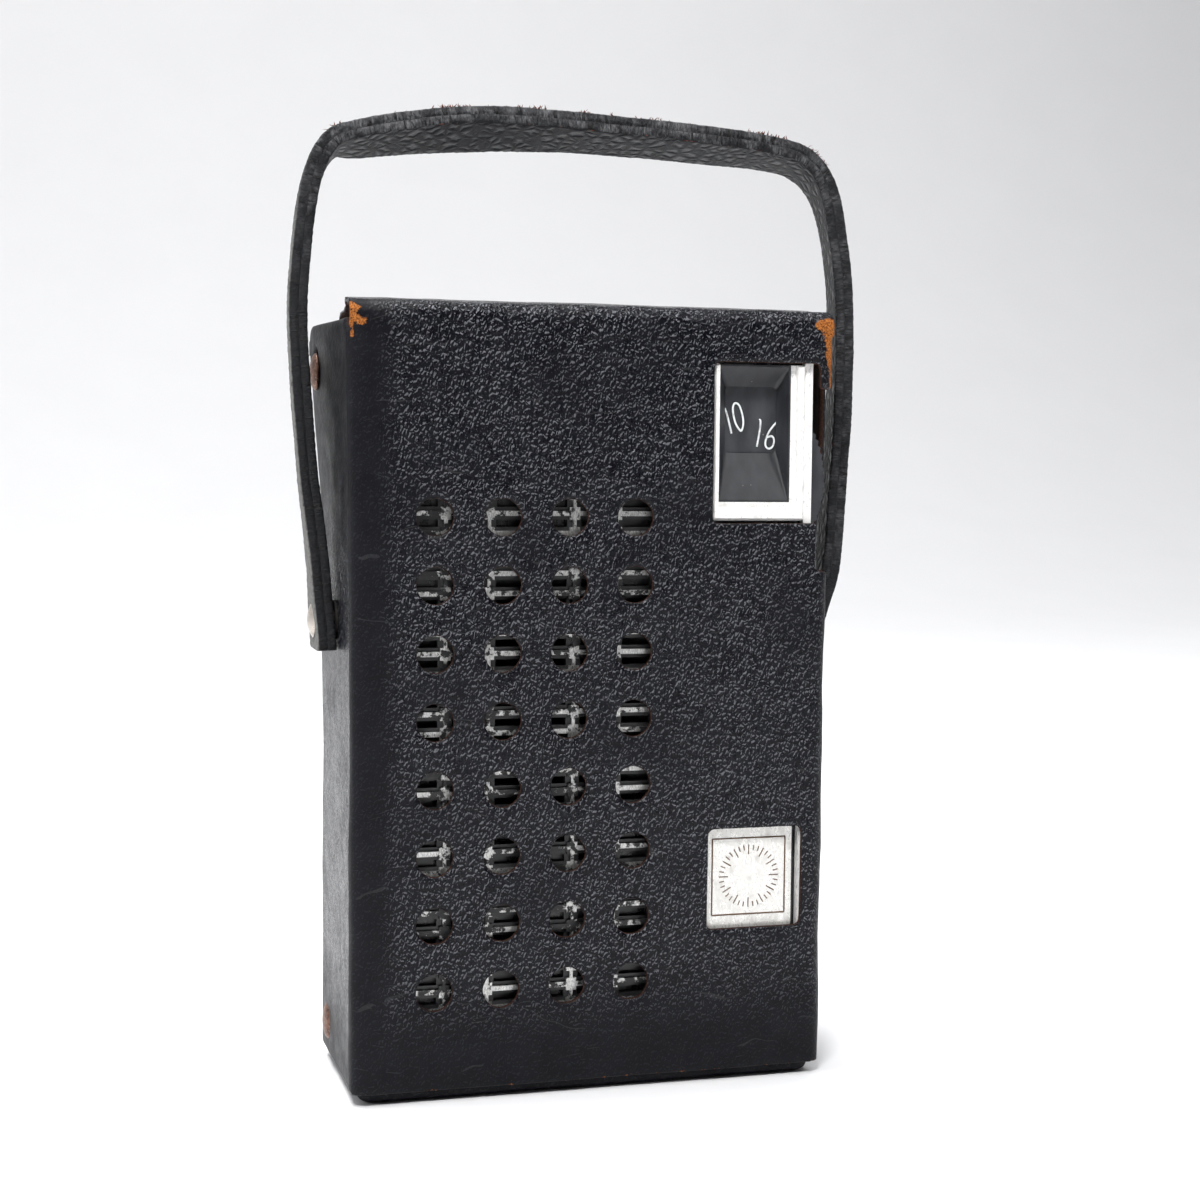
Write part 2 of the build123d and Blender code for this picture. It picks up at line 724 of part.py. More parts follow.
def speaker_basket():
    y = room_front
    inner = speaker_radius - flange_width
    flange_end = y + flange_thickness
    yoke_y = flange_end + basket_depth
    ring = [(inner, y), (speaker_radius, y), (speaker_radius, flange_end), (inner, flange_end)]
    basket = turned_y(ring, speaker_x, speaker_z)
    wall = [(inner, flange_end), (inner + basket_sheet, flange_end)]
    wall += [(yoke_radius, yoke_y), (yoke_radius - basket_sheet, yoke_y)]
    basket += turned_y(wall, speaker_x, speaker_z)
    basket += rod_y(speaker_x, speaker_z, (yoke_y - 1.0, yoke_y), yoke_radius - basket_sheet / 2)
    return basket


def speaker_cone():
    y = room_front
    rim = speaker_radius - flange_width
    deep = y + flange_thickness + basket_depth - 2.2
    outline = [(rim, y + 0.2), (rim, y + 0.8), (6.0, deep), (0, deep - 1.6)]
    outline += [(0, deep - 2.2), (5.8, deep - 0.8), (rim - 1.5, y + 0.2)]
    return turned_y(outline, speaker_x, speaker_z)


def speaker_magnet():
    y = room_front + flange_thickness + basket_depth
    magnet = rod_y(speaker_x, speaker_z, (y, y + magnet_depth), magnet_radius)
    return chamfer(magnet.edges().group_by(Axis.Y)[-1], 0.8)


def battery():
    x = (battery_x, battery_end)
    y = (battery_y, battery_y + battery_size[1])
    block_cell = fillet(block(x, y, (room_bottom, battery_top)).edges().filter_by(Axis.X), 2.0)
    middle = (y[0] + y[1]) / 2
    for z, radius in ((room_bottom + 7, 2.8), (battery_top - 7, 3.8)):
        block_cell += rod_x(middle, z, (battery_end, battery_end + 2.4), radius)
    return block_cell


def battery_connector():
    middle = battery_y + battery_size[1] / 2
    x = (battery_end + 0.3, battery_end + 3.6)
    cap = block(x, (middle - 6, middle + 6), (room_bottom + 1, battery_top - 1))
    cap = fillet(cap.edges().filter_by(Axis.X), 3.0)
    for z, radius in ((room_bottom + 7, 2.8), (battery_top - 7, 3.8)):
        cap -= rod_x(middle, z, (battery_end - 1, battery_end + 2.4), radius)
    return cap


def battery_pad():
    y = (battery_y + battery_size[1], room_back)
    return block((battery_x + 4.8, battery_end - 5.7), y, (room_bottom + 4, battery_top - 4))


def lead(points, bend):
    path = FilletPolyline(*points, radius=bend)
    start = Plane(path @ 0, z_dir=path % 0)
    return sweep(start * Circle(lead_radius), path)


def battery_leads():
    middle = battery_y + battery_size[1] / 2
    face = battery_end + 3.6
    leads = []
    for offset, z in ((0.0, 20.0), (2.6, 16.0)):
        x = board_column + 6.3 + offset * 0.8
        y = middle - 1.0 + offset
        top = board_bottom + 1.6
        points = [(face, y, z), (x, y, z), (x, y, top), (x, board_back, top)]
        leads.append(lead(points, [1.5, 1.5]))
    return Compound(leads)


def speaker_leads():
    yoke_y = room_front + flange_thickness + basket_depth
    place = yoke_radius - 1.1
    leads = []
    for offset in (-4.7, 2.0):
        x = speaker_x + offset
        z = speaker_z + math.sqrt(place * place - offset * offset)
        out = board_back + 4.0
        end = board_step + 1.8
        points = [(x, yoke_y, z), (x, out, z), (x, out, end), (x, board_back, end)]
        leads.append(lead(points, [1.5, 1.5]))
    return Compound(leads)


nodes = {
    "case_front": case_front(),
    "case_tray": case_tray(),
    "case_rivets": case_rivets(),
    "top_lid": top_lid(),
    "snap_cap": snap_cap(),
    "snap_stud": snap_stud(),
    "handle_outer_ply": strap_ply_solid(Side.RIGHT),
    "handle_inner_ply": strap_ply_solid(Side.LEFT),
    "handle_washers": handle_washers(),
    "handle_pins": handle_pins(),
    "cabinet_front": cabinet_front(),
    "cabinet_back": cabinet_back(),
    "chrome_trim": chrome_trim(),
    "grille_plate": grille_plate(),
    "grille_ribs": grille_ribs(),
    "badge_plate": badge_plate(),
    "dial_bezel": dial_bezel(),
    "dial_mask": dial_mask(),
    "tuning_dial": knurled_wheel(tuning_x, tuning_z, tuning_y, tuning_radius, tuning_teeth),
    "tuning_shaft": wheel_shaft(tuning_x, tuning_z, tuning_y),
    "tuning_screw": wheel_screw(tuning_x, tuning_z, tuning_y),
    "tuning_capacitor": control_body(tuning_x, tuning_z, capacitor_size, 10.5),
    "volume_wheel": knurled_wheel(volume_x, volume_z, volume_y, volume_radius, volume_teeth),
    "volume_shaft": wheel_shaft(volume_x, volume_z, volume_y),
    "volume_screw": wheel_screw(volume_x, volume_z, volume_y),
    "volume_control": control_body(volume_x, volume_z, volume_body, 6.0),
    "circuit_board": circuit_board(),
    "board_screws": board_screws(),
    "coil_cans": row_of_cans(),
    "audio_transformers": audio_transformers(),
    "transistors": transistors(),
    "electrolytic_capacitors": electrolytic_capacitors(),
    "resistors": resistors(),
    "ferrite_rod": ferrite_rod(),
    "antenna_coil": antenna_coil(),
    "rod_holders": rod_holders(),
    "speaker_basket": speaker_basket(),
    "speaker_cone": speaker_cone(),
    "speaker_magnet": speaker_magnet(),
    "battery": battery(),
    "battery_connector": battery_connector(),
    "battery_pad": battery_pad(),
    "battery_leads": battery_leads(),
    "speaker_leads": speaker_leads(),
}

os.makedirs("parts", exist_ok=True)
for name, shape in nodes.items():
    export_step(shape, f"parts/{name}.step")
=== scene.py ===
import math

import bmesh
import bpy
import numpy as np
from mathutils import Matrix, Vector, noise


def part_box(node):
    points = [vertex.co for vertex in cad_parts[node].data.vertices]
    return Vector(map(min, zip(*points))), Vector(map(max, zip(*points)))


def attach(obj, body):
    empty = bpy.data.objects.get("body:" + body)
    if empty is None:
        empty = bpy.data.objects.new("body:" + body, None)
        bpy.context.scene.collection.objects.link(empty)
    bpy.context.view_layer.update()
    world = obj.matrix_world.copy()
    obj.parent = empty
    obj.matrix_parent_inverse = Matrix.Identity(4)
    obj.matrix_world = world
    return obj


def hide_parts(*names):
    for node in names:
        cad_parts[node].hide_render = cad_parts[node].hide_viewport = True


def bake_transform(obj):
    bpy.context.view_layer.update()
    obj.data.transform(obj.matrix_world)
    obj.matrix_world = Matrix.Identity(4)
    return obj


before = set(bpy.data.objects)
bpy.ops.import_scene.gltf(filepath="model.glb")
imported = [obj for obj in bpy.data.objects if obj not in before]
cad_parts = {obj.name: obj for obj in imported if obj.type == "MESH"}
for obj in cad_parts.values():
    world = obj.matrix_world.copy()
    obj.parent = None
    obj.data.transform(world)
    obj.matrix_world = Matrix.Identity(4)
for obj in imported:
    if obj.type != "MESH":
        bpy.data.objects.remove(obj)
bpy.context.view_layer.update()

mm = 0.001


# ---------------------------------------------------------------- node helpers

class Shader:
    """A node material, built line by line."""

    def __init__(self, name):
        self.material = bpy.data.materials.new(name)
        self.material.use_nodes = True
        self.tree = self.material.node_tree
        self.tree.nodes.clear()
        self.output = self.tree.nodes.new("ShaderNodeOutputMaterial")
        self.surface = self.tree.nodes.new("ShaderNodeBsdfPrincipled")
        self.tree.links.new(self.surface.outputs[0], self.output.inputs[0])

    def join(self, value, socket):
        """Links a socket, or writes a plain value."""
        if isinstance(value, bpy.types.NodeSocket):
            self.tree.links.new(value, socket)
        elif value is not None:
            socket.default_value = value

    def node(self, kind, inputs=(), out=0, **settings):
        made = self.tree.nodes.new("ShaderNode" + kind)
        for key, value in settings.items():
            setattr(made, key, value)
        for key, value in dict(inputs).items():
            self.join(value, made.inputs[key])
        return made.outputs[out]

    def math(self, operation, a, b=None, clamp=False):
        return self.node("Math", {0: a, 1: b}, operation=operation, use_clamp=clamp)

    def place(self, scale=(1, 1, 1)):
        """Object coordinates in millimetres."""
        where = self.node("TexCoord", out="Object")
        size = [1000 * s for s in scale]
        return self.node("Mapping", {"Vector": where, "Scale": size})

    def stored(self, name, out="Fac"):
        return self.node("Attribute", out=out, attribute_name=name)

    def noise(self, where, size, detail=3.0, roughness=0.5, distortion=0.0):
        """Noise whose features are about size millimetres across."""
        inputs = {"Vector": where, "Scale": 1 / size, "Detail": detail}
        inputs.update({"Roughness": roughness, "Distortion": distortion})
        return self.node("TexNoise", inputs)

    def cells(self, where, size, feature="F1", out="Distance", randomness=1.0):
        inputs = {"Vector": where, "Scale": 1 / size, "Randomness": randomness}
        return self.node("TexVoronoi", inputs, out=out, feature=feature)

    def ramp(self, value, low, high, start=0.0, end=1.0, smooth=True):
        inputs = {"Value": value, "From Min": low, "From Max": high, "To Min": start, "To Max": end}
        kind = "SMOOTHSTEP" if smooth else "LINEAR"
        return self.node("MapRange", inputs, interpolation_type=kind, clamp=True)

    def mix(self, amount, first, second):
        made = self.tree.nodes.new("ShaderNodeMix")
        made.data_type = "RGBA"
        self.join(amount, made.inputs["Factor"])
        self.join(first, made.inputs["A"])
        self.join(second, made.inputs["B"])
        return made.outputs["Result"]

    def blend_value(self, amount, first, second):
        made = self.tree.nodes.new("ShaderNodeMix")
        self.join(amount, made.inputs[0])
        self.join(first, made.inputs[2])
        self.join(second, made.inputs[3])
        return made.outputs[0]

    def bump(self, height, depth, strength=1.0, normal=None):
        """Bump of depth millimetres."""
        inputs = {"Height": height, "Distance": depth * mm, "Strength": strength, "Normal": normal}
        return self.node("Bump", inputs)

    def finish(self, **sockets):
        for key, value in sockets.items():
            self.join(value, self.surface.inputs[key.replace("_", " ")])
        return self.material


def rgb(r, g, b):
    return (r, g, b, 1.0)


def warped(s, where, size, amount):
    """Coordinates pushed about by a noise of that size, in millimetres."""
    push = s.node("TexNoise", {"Vector": where, "Scale": 1 / size, "Detail": 2.0}, out="Color")
    centred = s.node("VectorMath", {0: push, 1: (0.5, 0.5, 0.5)}, operation="SUBTRACT")
    scaled = s.node("VectorMath", {0: centred, "Scale": 2 * amount}, operation="SCALE")
    return s.node("VectorMath", {0: where, 1: scaled}, operation="ADD")


# ---------------------------------------------------------------- materials

def embossing(s, flat, grain, offset):
    """Height of the pressed grain at flat + offset: pebbles with soft folds between them."""
    moved = s.node("Mapping", {"Vector": flat, "Location": offset, "Scale": (1, 1, 0.66)})
    ridge = s.cells(warped(s, moved, 1.3, 0.55), grain, "DISTANCE_TO_EDGE")
    pebble = s.math("MULTIPLY", s.ramp(ridge, 0.0, 0.42), 0.30)
    return s.math("ADD", pebble, s.math("MULTIPLY", s.noise(moved, 0.55, 3.0, 0.5, 0.6), 0.75))


def leather(name, grain=0.62, depth=0.24, shine=0.24, glint=1.0):
    """Black embossed leather. Point attributes: side is 1 on the grain side, raw marks worn-through
    spots, calm marks smoother bands, and flat holds the place before shaping, in millimetres."""
    s = Shader(name)
    flat = s.stored("flat", "Vector")
    side = s.stored("side")
    raw = s.stored("raw")
    calm = s.stored("calm")
    height = embossing(s, flat, grain, (0, 0, 0))
    # The grain height a little higher up: height minus this tells how steeply the grain faces upward, which sets the
    # painted highlight below.
    above = embossing(s, flat, grain, (-0.05, 0, 0.11))
    upward = s.math("SUBTRACT", height, above)
    fine = s.noise(flat, 0.14, 3.0, 0.6)
    height = s.math("ADD", height, s.math("MULTIPLY", fine, 0.012))
    patch = s.ramp(s.noise(flat, 16.0, 3.0), 0.42, 0.7)
    smooth = s.math("MAXIMUM", calm, s.math("MULTIPLY", patch, 0.4))
    height = s.math("MULTIPLY", height, s.ramp(smooth, 0.0, 1.0, 1.0, 0.16, smooth=False))
    long_marks = s.node("Mapping", {"Vector": warped(s, flat, 11.0, 5.0), "Rotation": (0, 0.9, 0.3),
                                    "Scale": (0.05, 0.4, 1.9)})
    scratch = s.ramp(s.noise(long_marks, 1.0, 1.0), 0.70, 0.73)
    height = s.math("ADD", height, s.math("MULTIPLY", scratch, -0.08))
    fibres = s.noise(flat, 0.22, 5.0, 0.75)
    ragged = s.math("ADD", raw, s.math("MULTIPLY", s.math("SUBTRACT", s.noise(flat, 0.8, 5.0, 0.75), 0.5), 1.5))
    worn = s.ramp(ragged, 0.44, 0.60)
    grain_side = s.ramp(side, 0.30, 0.62)
    tone = s.noise(flat, 5.0, 4.0, 0.6)
    black = s.mix(s.ramp(tone, 0.3, 0.75), rgb(0.0022, 0.0023, 0.0040), rgb(0.0042, 0.0045, 0.0070))
    rubbed = s.math("MULTIPLY", s.ramp(height, 0.42, 0.62), s.ramp(s.noise(flat, 2.4, 4.0), 0.42, 0.75))
    black = s.mix(s.math("MULTIPLY", rubbed, 0.30), black, rgb(0.055, 0.057, 0.064))
    # Painted highlight: where the grain faces upward the colour is mixed toward a pale grey, standing in for glints of
    # the lamps above; it is weaker on calm bands.
    painted_glint = s.math("MULTIPLY", s.ramp(upward, 0.045, 0.13), s.ramp(s.noise(flat, 2.2, 3.0), 0.18, 0.46))
    painted_glint = s.math("MULTIPLY", painted_glint, s.ramp(smooth, 0.0, 0.8, 0.44 * glint, 0.03))
    black = s.mix(painted_glint, black, rgb(0.24, 0.245, 0.27))
    black = s.mix(s.math("MULTIPLY", scratch, 0.22), black, rgb(0.06, 0.06, 0.062))
    orange = s.mix(s.ramp(fibres, 0.36, 0.66), rgb(0.10, 0.022, 0.006), rgb(0.60, 0.215, 0.045))
    brown = s.mix(s.ramp(fibres, 0.35, 0.72), rgb(0.012, 0.007, 0.005), rgb(0.075, 0.028, 0.016))
    colour = s.mix(grain_side, brown, s.mix(worn, black, orange))
    dull = s.math("MAXIMUM", s.math("SUBTRACT", 1.0, grain_side), worn)
    gloss = s.ramp(height, 0.1, 0.6, shine + 0.14, shine - 0.06)
    gloss = s.math("ADD", gloss, s.ramp(s.noise(flat, 3.5, 4.0, 0.6), 0.3, 0.7, -0.04, 0.08))
    gloss = s.math("ADD", gloss, s.math("MULTIPLY", smooth, 0.10))
    rough = s.blend_value(dull, gloss, 0.85)
    relief = s.blend_value(dull, height, s.math("MULTIPLY", fibres, 1.1))
    return s.finish(Base_Color=colour, Roughness=rough, Normal=s.bump(relief, depth),
                    Specular_IOR_Level=0.15)


def plastic(name, colour, rough=0.35, grain=0.35, depth=0.01, dust=0.0):
    """Moulded plastic with a faint skin texture, handling marks and a little dust."""
    s = Shader(name)
    where = s.place()
    skin = s.noise(where, grain, 3.0, 0.6)
    smear = s.noise(s.place((1, 1, 0.4)), 3.0, 4.0, 0.6)
    lighter = tuple(min(1.0, c * 1.5 + 0.01) for c in colour[:3]) + (1.0,)
    base = s.mix(s.ramp(smear, 0.35, 0.75), colour, lighter)
    specks = s.ramp(s.cells(where, 1.7), 0.0, 0.09, 1.0, 0.0)
    specks = s.math("MULTIPLY", specks, s.ramp(s.noise(where, 6.0), 0.5, 0.6))
    base = s.mix(s.math("MULTIPLY", specks, dust), base, rgb(0.35, 0.34, 0.32))
    gloss = s.ramp(smear, 0.3, 0.8, rough - 0.05, rough + 0.14)
    return s.finish(Base_Color=base, Roughness=gloss, Normal=s.bump(skin, depth))


def metal(name, colour, rough=0.2, stain=rgb(0.1, 0.07, 0.05), staining=0.3, brushed=(1, 1, 1), depth=0.006,
          plating=1.0):
    """Plated or plain metal with fine lines, smears and small dark pits."""
    s = Shader(name)
    where = s.place()
    lines = s.noise(s.place(brushed), 0.5, 4.0, 0.7)
    cloud = s.noise(where, 2.4, 4.0, 0.62)
    pits = s.ramp(s.cells(warped(s, where, 1.0, 0.3), 1.3), 0.02, 0.12, 1.0, 0.0)
    pits = s.math("MULTIPLY", pits, s.ramp(cloud, 0.5, 0.62))
    tarnish = s.math("MULTIPLY", s.ramp(cloud, 0.52, 0.75), staining)
    spoiled = s.math("MAXIMUM", tarnish, s.math("MULTIPLY", pits, min(1.0, staining * 2)))
    base = s.mix(spoiled, colour, stain)
    gloss = s.ramp(lines, 0.3, 0.75, rough * 0.7, rough * 1.5)
    gloss = s.math("ADD", gloss, s.math("MULTIPLY", spoiled, 0.35))
    shape = s.math("SUBTRACT", lines, s.math("MULTIPLY", pits, 1.5))
    return s.finish(Base_Color=base, Roughness=gloss, Metallic=plating, Normal=s.bump(shape, depth))


def worn_silver(name):
    """Silver facing on black moulded ribs, rubbed through in patches."""
    s = Shader(name)
    where = s.place()
    patches = s.noise(where, 1.1, 5.0, 0.68)
    broad = s.noise(where, 9.0, 2.0)
    amount = s.math("ADD", patches, s.math("MULTIPLY", s.math("SUBTRACT", broad, 0.5), 0.7))
    silver = s.ramp(amount, 0.46, 0.53)
    scuff = s.noise(s.place((3, 1, 1)), 0.5, 4.0, 0.7)
    bright = s.mix(s.ramp(scuff, 0.3, 0.75), rgb(0.34, 0.34, 0.33), rgb(0.86, 0.86, 0.84))
    base = s.mix(silver, rgb(0.012, 0.012, 0.013), bright)
    rough = s.blend_value(silver, 0.45, s.ramp(scuff, 0.3, 0.7, 0.28, 0.5))
    height = s.math("ADD", silver, s.math("MULTIPLY", scuff, 0.5))
    return s.finish(Base_Color=base, Roughness=rough, Metallic=s.math("MULTIPLY", silver, 0.9),
                    Normal=s.bump(height, 0.02))


def rusty(name):
    """Old rivet metal: brown patina with brighter rubbed spots and rust."""
    s = Shader(name)
    where = s.place()
    cloud = s.noise(where, 0.9, 5.0, 0.65)
    spots = s.noise(where, 0.35, 4.0, 0.7)
    brown = s.mix(s.ramp(cloud, 0.35, 0.65), rgb(0.07, 0.032, 0.022), rgb(0.22, 0.12, 0.085))
    base = s.mix(s.ramp(spots, 0.58, 0.68), brown, rgb(0.5, 0.42, 0.36))
    rough = s.ramp(cloud, 0.3, 0.7, 0.34, 0.62)
    return s.finish(Base_Color=base, Roughness=rough, Metallic=0.75, Normal=s.bump(cloud, 0.09))


def painted(name, colour, rough=0.5, size=1.2):
    """Ink or paint with slightly uneven cover."""
    s = Shader(name)
    cover = s.noise(s.place(), size, 4.0, 0.6)
    faded = tuple(c * 0.6 for c in colour[:3]) + (1.0,)
    base = s.mix(s.ramp(cover, 0.3, 0.55), faded, colour)
    return s.finish(Base_Color=base, Roughness=rough, Normal=s.bump(cover, 0.01))


def fibre(name, colour, stretch=(1, 6, 6), depth=0.08):
    """Paper, foam or wound thread."""
    s = Shader(name)
    strands = s.noise(s.place(stretch), 1.2, 5.0, 0.7)
    dark = tuple(c * 0.45 for c in colour[:3]) + (1.0,)
    base = s.mix(s.ramp(strands, 0.3, 0.7), dark, colour)
    return s.finish(Base_Color=base, Roughness=0.85, Normal=s.bump(strands, depth))


# ---------------------------------------------------------------- mesh helpers

def add_box(bm, low, high):
    middle = [(a + b) / 2 for a, b in zip(low, high)]
    size = [b - a for a, b in zip(low, high)]
    bmesh.ops.create_cube(bm, size=1.0, matrix=Matrix.Translation(middle) @ Matrix.Diagonal((*size, 1.0)))


def voxel_copy(name, nodes, voxel, boxes=(), smoothing=3):
    """Softened copy of CAD nodes and joining boxes, as one even mesh with rounded cut edges."""
    bm = bmesh.new()
    for node in nodes:
        bm.from_mesh(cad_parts[node].data)
    bmesh.ops.remove_doubles(bm, verts=bm.verts, dist=1e-6)
    for low, high in boxes:
        add_box(bm, low, high)
    rough = bpy.data.meshes.new(name + "_rough")
    bm.to_mesh(rough)
    bm.free()
    maker = bpy.data.objects.new(name + "_maker", rough)
    bpy.context.scene.collection.objects.link(maker)
    remesh = maker.modifiers.new("even", "REMESH")
    remesh.mode = "VOXEL"
    remesh.voxel_size = voxel
    soften = maker.modifiers.new("soften", "SMOOTH")
    soften.factor = 0.5
    soften.iterations = smoothing
    graph = bpy.context.evaluated_depsgraph_get()
    mesh = bpy.data.meshes.new_from_object(maker.evaluated_get(graph))
    mesh.name = name
    bpy.data.objects.remove(maker)
    bpy.data.meshes.remove(rough)
    piece = bpy.data.objects.new(name, mesh)
    bpy.context.scene.collection.objects.link(piece)
    mesh.shade_smooth()
    return piece


def points_of(mesh):
    flat = np.empty(len(mesh.vertices) * 3, np.float32)
    mesh.vertices.foreach_get("co", flat)
    return flat.reshape(-1, 3).astype(float) / mm


def write_points(mesh, points):
    mesh.vertices.foreach_set("co", (points * mm).astype(np.float32).ravel())
    mesh.update()


def normals_of(mesh):
    flat = np.empty(len(mesh.vertices) * 3, np.float32)
    mesh.vertices.foreach_get("normal", flat)
    return flat.reshape(-1, 3).astype(float)


def store(mesh, name, values):
    """Point attribute from numbers or from vectors."""
    vector = values.ndim == 2
    kind = "FLOAT_VECTOR" if vector else "FLOAT"
    attribute = mesh.attributes.new(name, kind, "POINT")
    attribute.data.foreach_set("vector" if vector else "value", values.astype(np.float32).ravel())


def step(value, low, high):
    t = np.clip((value - low) / (high - low), 0, 1)
    return t * t * (3 - 2 * t)


def wander(points, size, seed):
    """Smooth noise from -1 to 1 at each point."""
    shift = Vector((seed * 17.3, seed * 5.1, seed * 9.7))
    return np.array([noise.noise(Vector(p) / size + shift) for p in points])


def mesh_object(name, vertices, faces, smooth=True):
    mesh = bpy.data.meshes.new(name)
    mesh.from_pydata([tuple(v) for v in np.asarray(vertices) * mm], [], faces)
    mesh.validate()
    if smooth:
        mesh.shade_smooth()
    piece = bpy.data.objects.new(name, mesh)
    bpy.context.scene.collection.objects.link(piece)
    return piece


def paint(piece, material):
    piece.data.materials.clear()
    piece.data.materials.append(material)


def dress(material, slot, *nodes):
    """Gives CAD nodes a material."""
    for name in nodes:
        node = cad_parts[name]
        for place in node.material_slots:
            place.material = material
        if not node.material_slots:
            node.data.materials.append(material)


def smooth_by_angle(degrees=35):
    """Smooth shading on every shown CAD node, sharp at its real edges."""
    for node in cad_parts.values():
        node.data.shade_smooth()
        node.data.set_sharp_from_angle(angle=math.radians(degrees))


def corner(node):
    low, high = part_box(node)
    return np.array(low) / mm, np.array(high) / mm


# ---------------------------------------------------------------- leather case

front_low, front_high = corner("case_front")
tray_low, tray_high = corner("case_tray")
lid_low, lid_high = corner("top_lid")
hinge_z = (front_high[2] + front_high[2] + 0.3) / 2
wall = 1.2
side_x = front_high[0]


def outward(points, low, high):
    """Direction straight out of the case at each point."""
    inside = np.clip(points, low, high)
    away = points - inside
    length = np.linalg.norm(away, axis=1, keepdims=True)
    return away / np.maximum(length, 1e-6)


def case_directions(points):
    inset = 3.2
    low = np.array([front_low[0] + inset, front_low[1] + inset, tray_low[2] + inset])
    high = np.array([front_high[0] - inset, tray_high[1] - inset, front_high[2] - 0.6])
    return outward(points, low, high)


def spot(points, start, end, radius):
    """1 along a line from start to end, falling to 0 at radius."""
    start, end = np.array(start, float), np.array(end, float)
    along = end - start
    t = np.clip((points - start) @ along / (along @ along), 0, 1)
    gap = np.linalg.norm(points - (start + t[:, None] * along), axis=1)
    return 1 - step(gap, 0.0, radius)


def shape_skin(points, directions):
    """Taper, flared wings, a slightly proud front and soft unevenness."""
    x, y, z = points.T.copy()
    shaped = points.copy()
    shaped[:, 0] *= 1 + 0.014 * step(z, 55, 118)
    below = z < front_high[2] + 0.1
    wing = step(np.abs(x), side_x - 1.9, side_x - 1.2) * step(y, -13.5, -11) * below
    rear = step(y, -12, 12)
    flare = np.where(x < 0, 1.5 * step(z, 86, 114) * rear, 2.2 * step(z, 80, 93) * step(y, -13, -5)) + 0.2 * rear
    shaped[:, 0] += np.sign(x) * flare * wing
    shaped[:, 2] += 1.6 * wing * step(z, 96, 115)
    lid = z > hinge_z + 1.2
    shaped[:, 0] += 3.0 * lid * step(-x, 14, 37) * step(y, -12.5, 12)
    shaped[:, 2] -= 2.2 * wing * step(y, 10.5, 14.6) ** 2 * step(z, 108, 115)
    across = np.cos(np.clip(x / side_x, -1, 1) * 1.5)
    shaped[:, 1] -= 0.35 * (directions[:, 1] < -0.5) * across * np.sin(np.clip(z / 116, 0, 1) * 3.1)
    shaped += directions * (0.16 * wander(points, 13.0, 1) + 0.07 * wander(points, 4.0, 2))[:, None]
    fold = step(z, 113.6, 116.0) * (1 - step(y, -14.5, -9.5))
    creases = np.array([noise.noise(Vector((px * 0.16, (pz - py) * 1.1, 3.7))) for px, py, pz in points])
    shaped += directions * (0.26 * fold * creases)[:, None]
    return shaped


def case_skin():
    """Front piece, wings and lid as the one sheet of leather that they are."""
    reach = (side_x - 1.8) * mm
    bridge_low = (-reach, front_low[1] * mm, (front_high[2] - 0.4) * mm)
    bridge_high = (reach, (front_low[1] + wall) * mm, (hinge_z + 1.4) * mm)
    piece = voxel_copy("case_leather", ["case_front", "top_lid"], 0.48 * mm, [(bridge_low, bridge_high)], 2)
    mesh = piece.data
    points = points_of(mesh)
    directions = case_directions(points)
    facing = (normals_of(mesh) * directions).sum(1)
    shaped = shape_skin(points, directions)
    write_points(mesh, shaped)
    x, y, z = points.T
    store(mesh, "side", facing)
    store(mesh, "flat", points)
    raw = spot(points, (-37.2, -15.0, 118.6), (-36.2, -15.2, 118.0), 1.5)
    raw = np.maximum(raw, spot(points, (-36.9, -15.0, 117.0), (-35.2, -15.3, 116.1), 1.35))
    raw = np.maximum(raw, spot(points, (-37.0, -15.2, 115.8), (-37.0, -15.0, 114.0), 1.0))
    raw = np.maximum(raw, spot(points, (34.6, -15.3, 117.4), (37.0, -15.0, 117.6), 1.5))
    raw = np.maximum(raw, spot(points, (36.2, -15.3, 117.6), (36.9, -15.0, 111.6), 2.0))
    raw = np.maximum(raw, 0.85 * spot(points, (36.9, -15.0, 111.6), (37.1, -14.6, 107.6), 1.2))
    raw = np.maximum(raw, 0.36 * (1 - step(z, 1.9, 2.7)) * (directions[:, 1] < -0.4))
    store(mesh, "raw", raw)
    band = (1 - step(x, -36.0, -27.5)) * (directions[:, 1] < -0.3)
    wing_calm = 0.75 * (directions[:, 0] < -0.6) * step(z, 70, 96)
    band = np.maximum(band, wing_calm)
    foot = (1 - step(z, 2.0, 26.0)) * 0.9
    corner_calm = step(x, 34.5, 36.8) * 0.5
    store(mesh, "calm", np.clip(np.maximum(np.maximum(band, foot), corner_calm), 0, 1))
    paint(piece, leather("front_leather"))
    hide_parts("case_front", "top_lid")
    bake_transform(piece)
    return piece


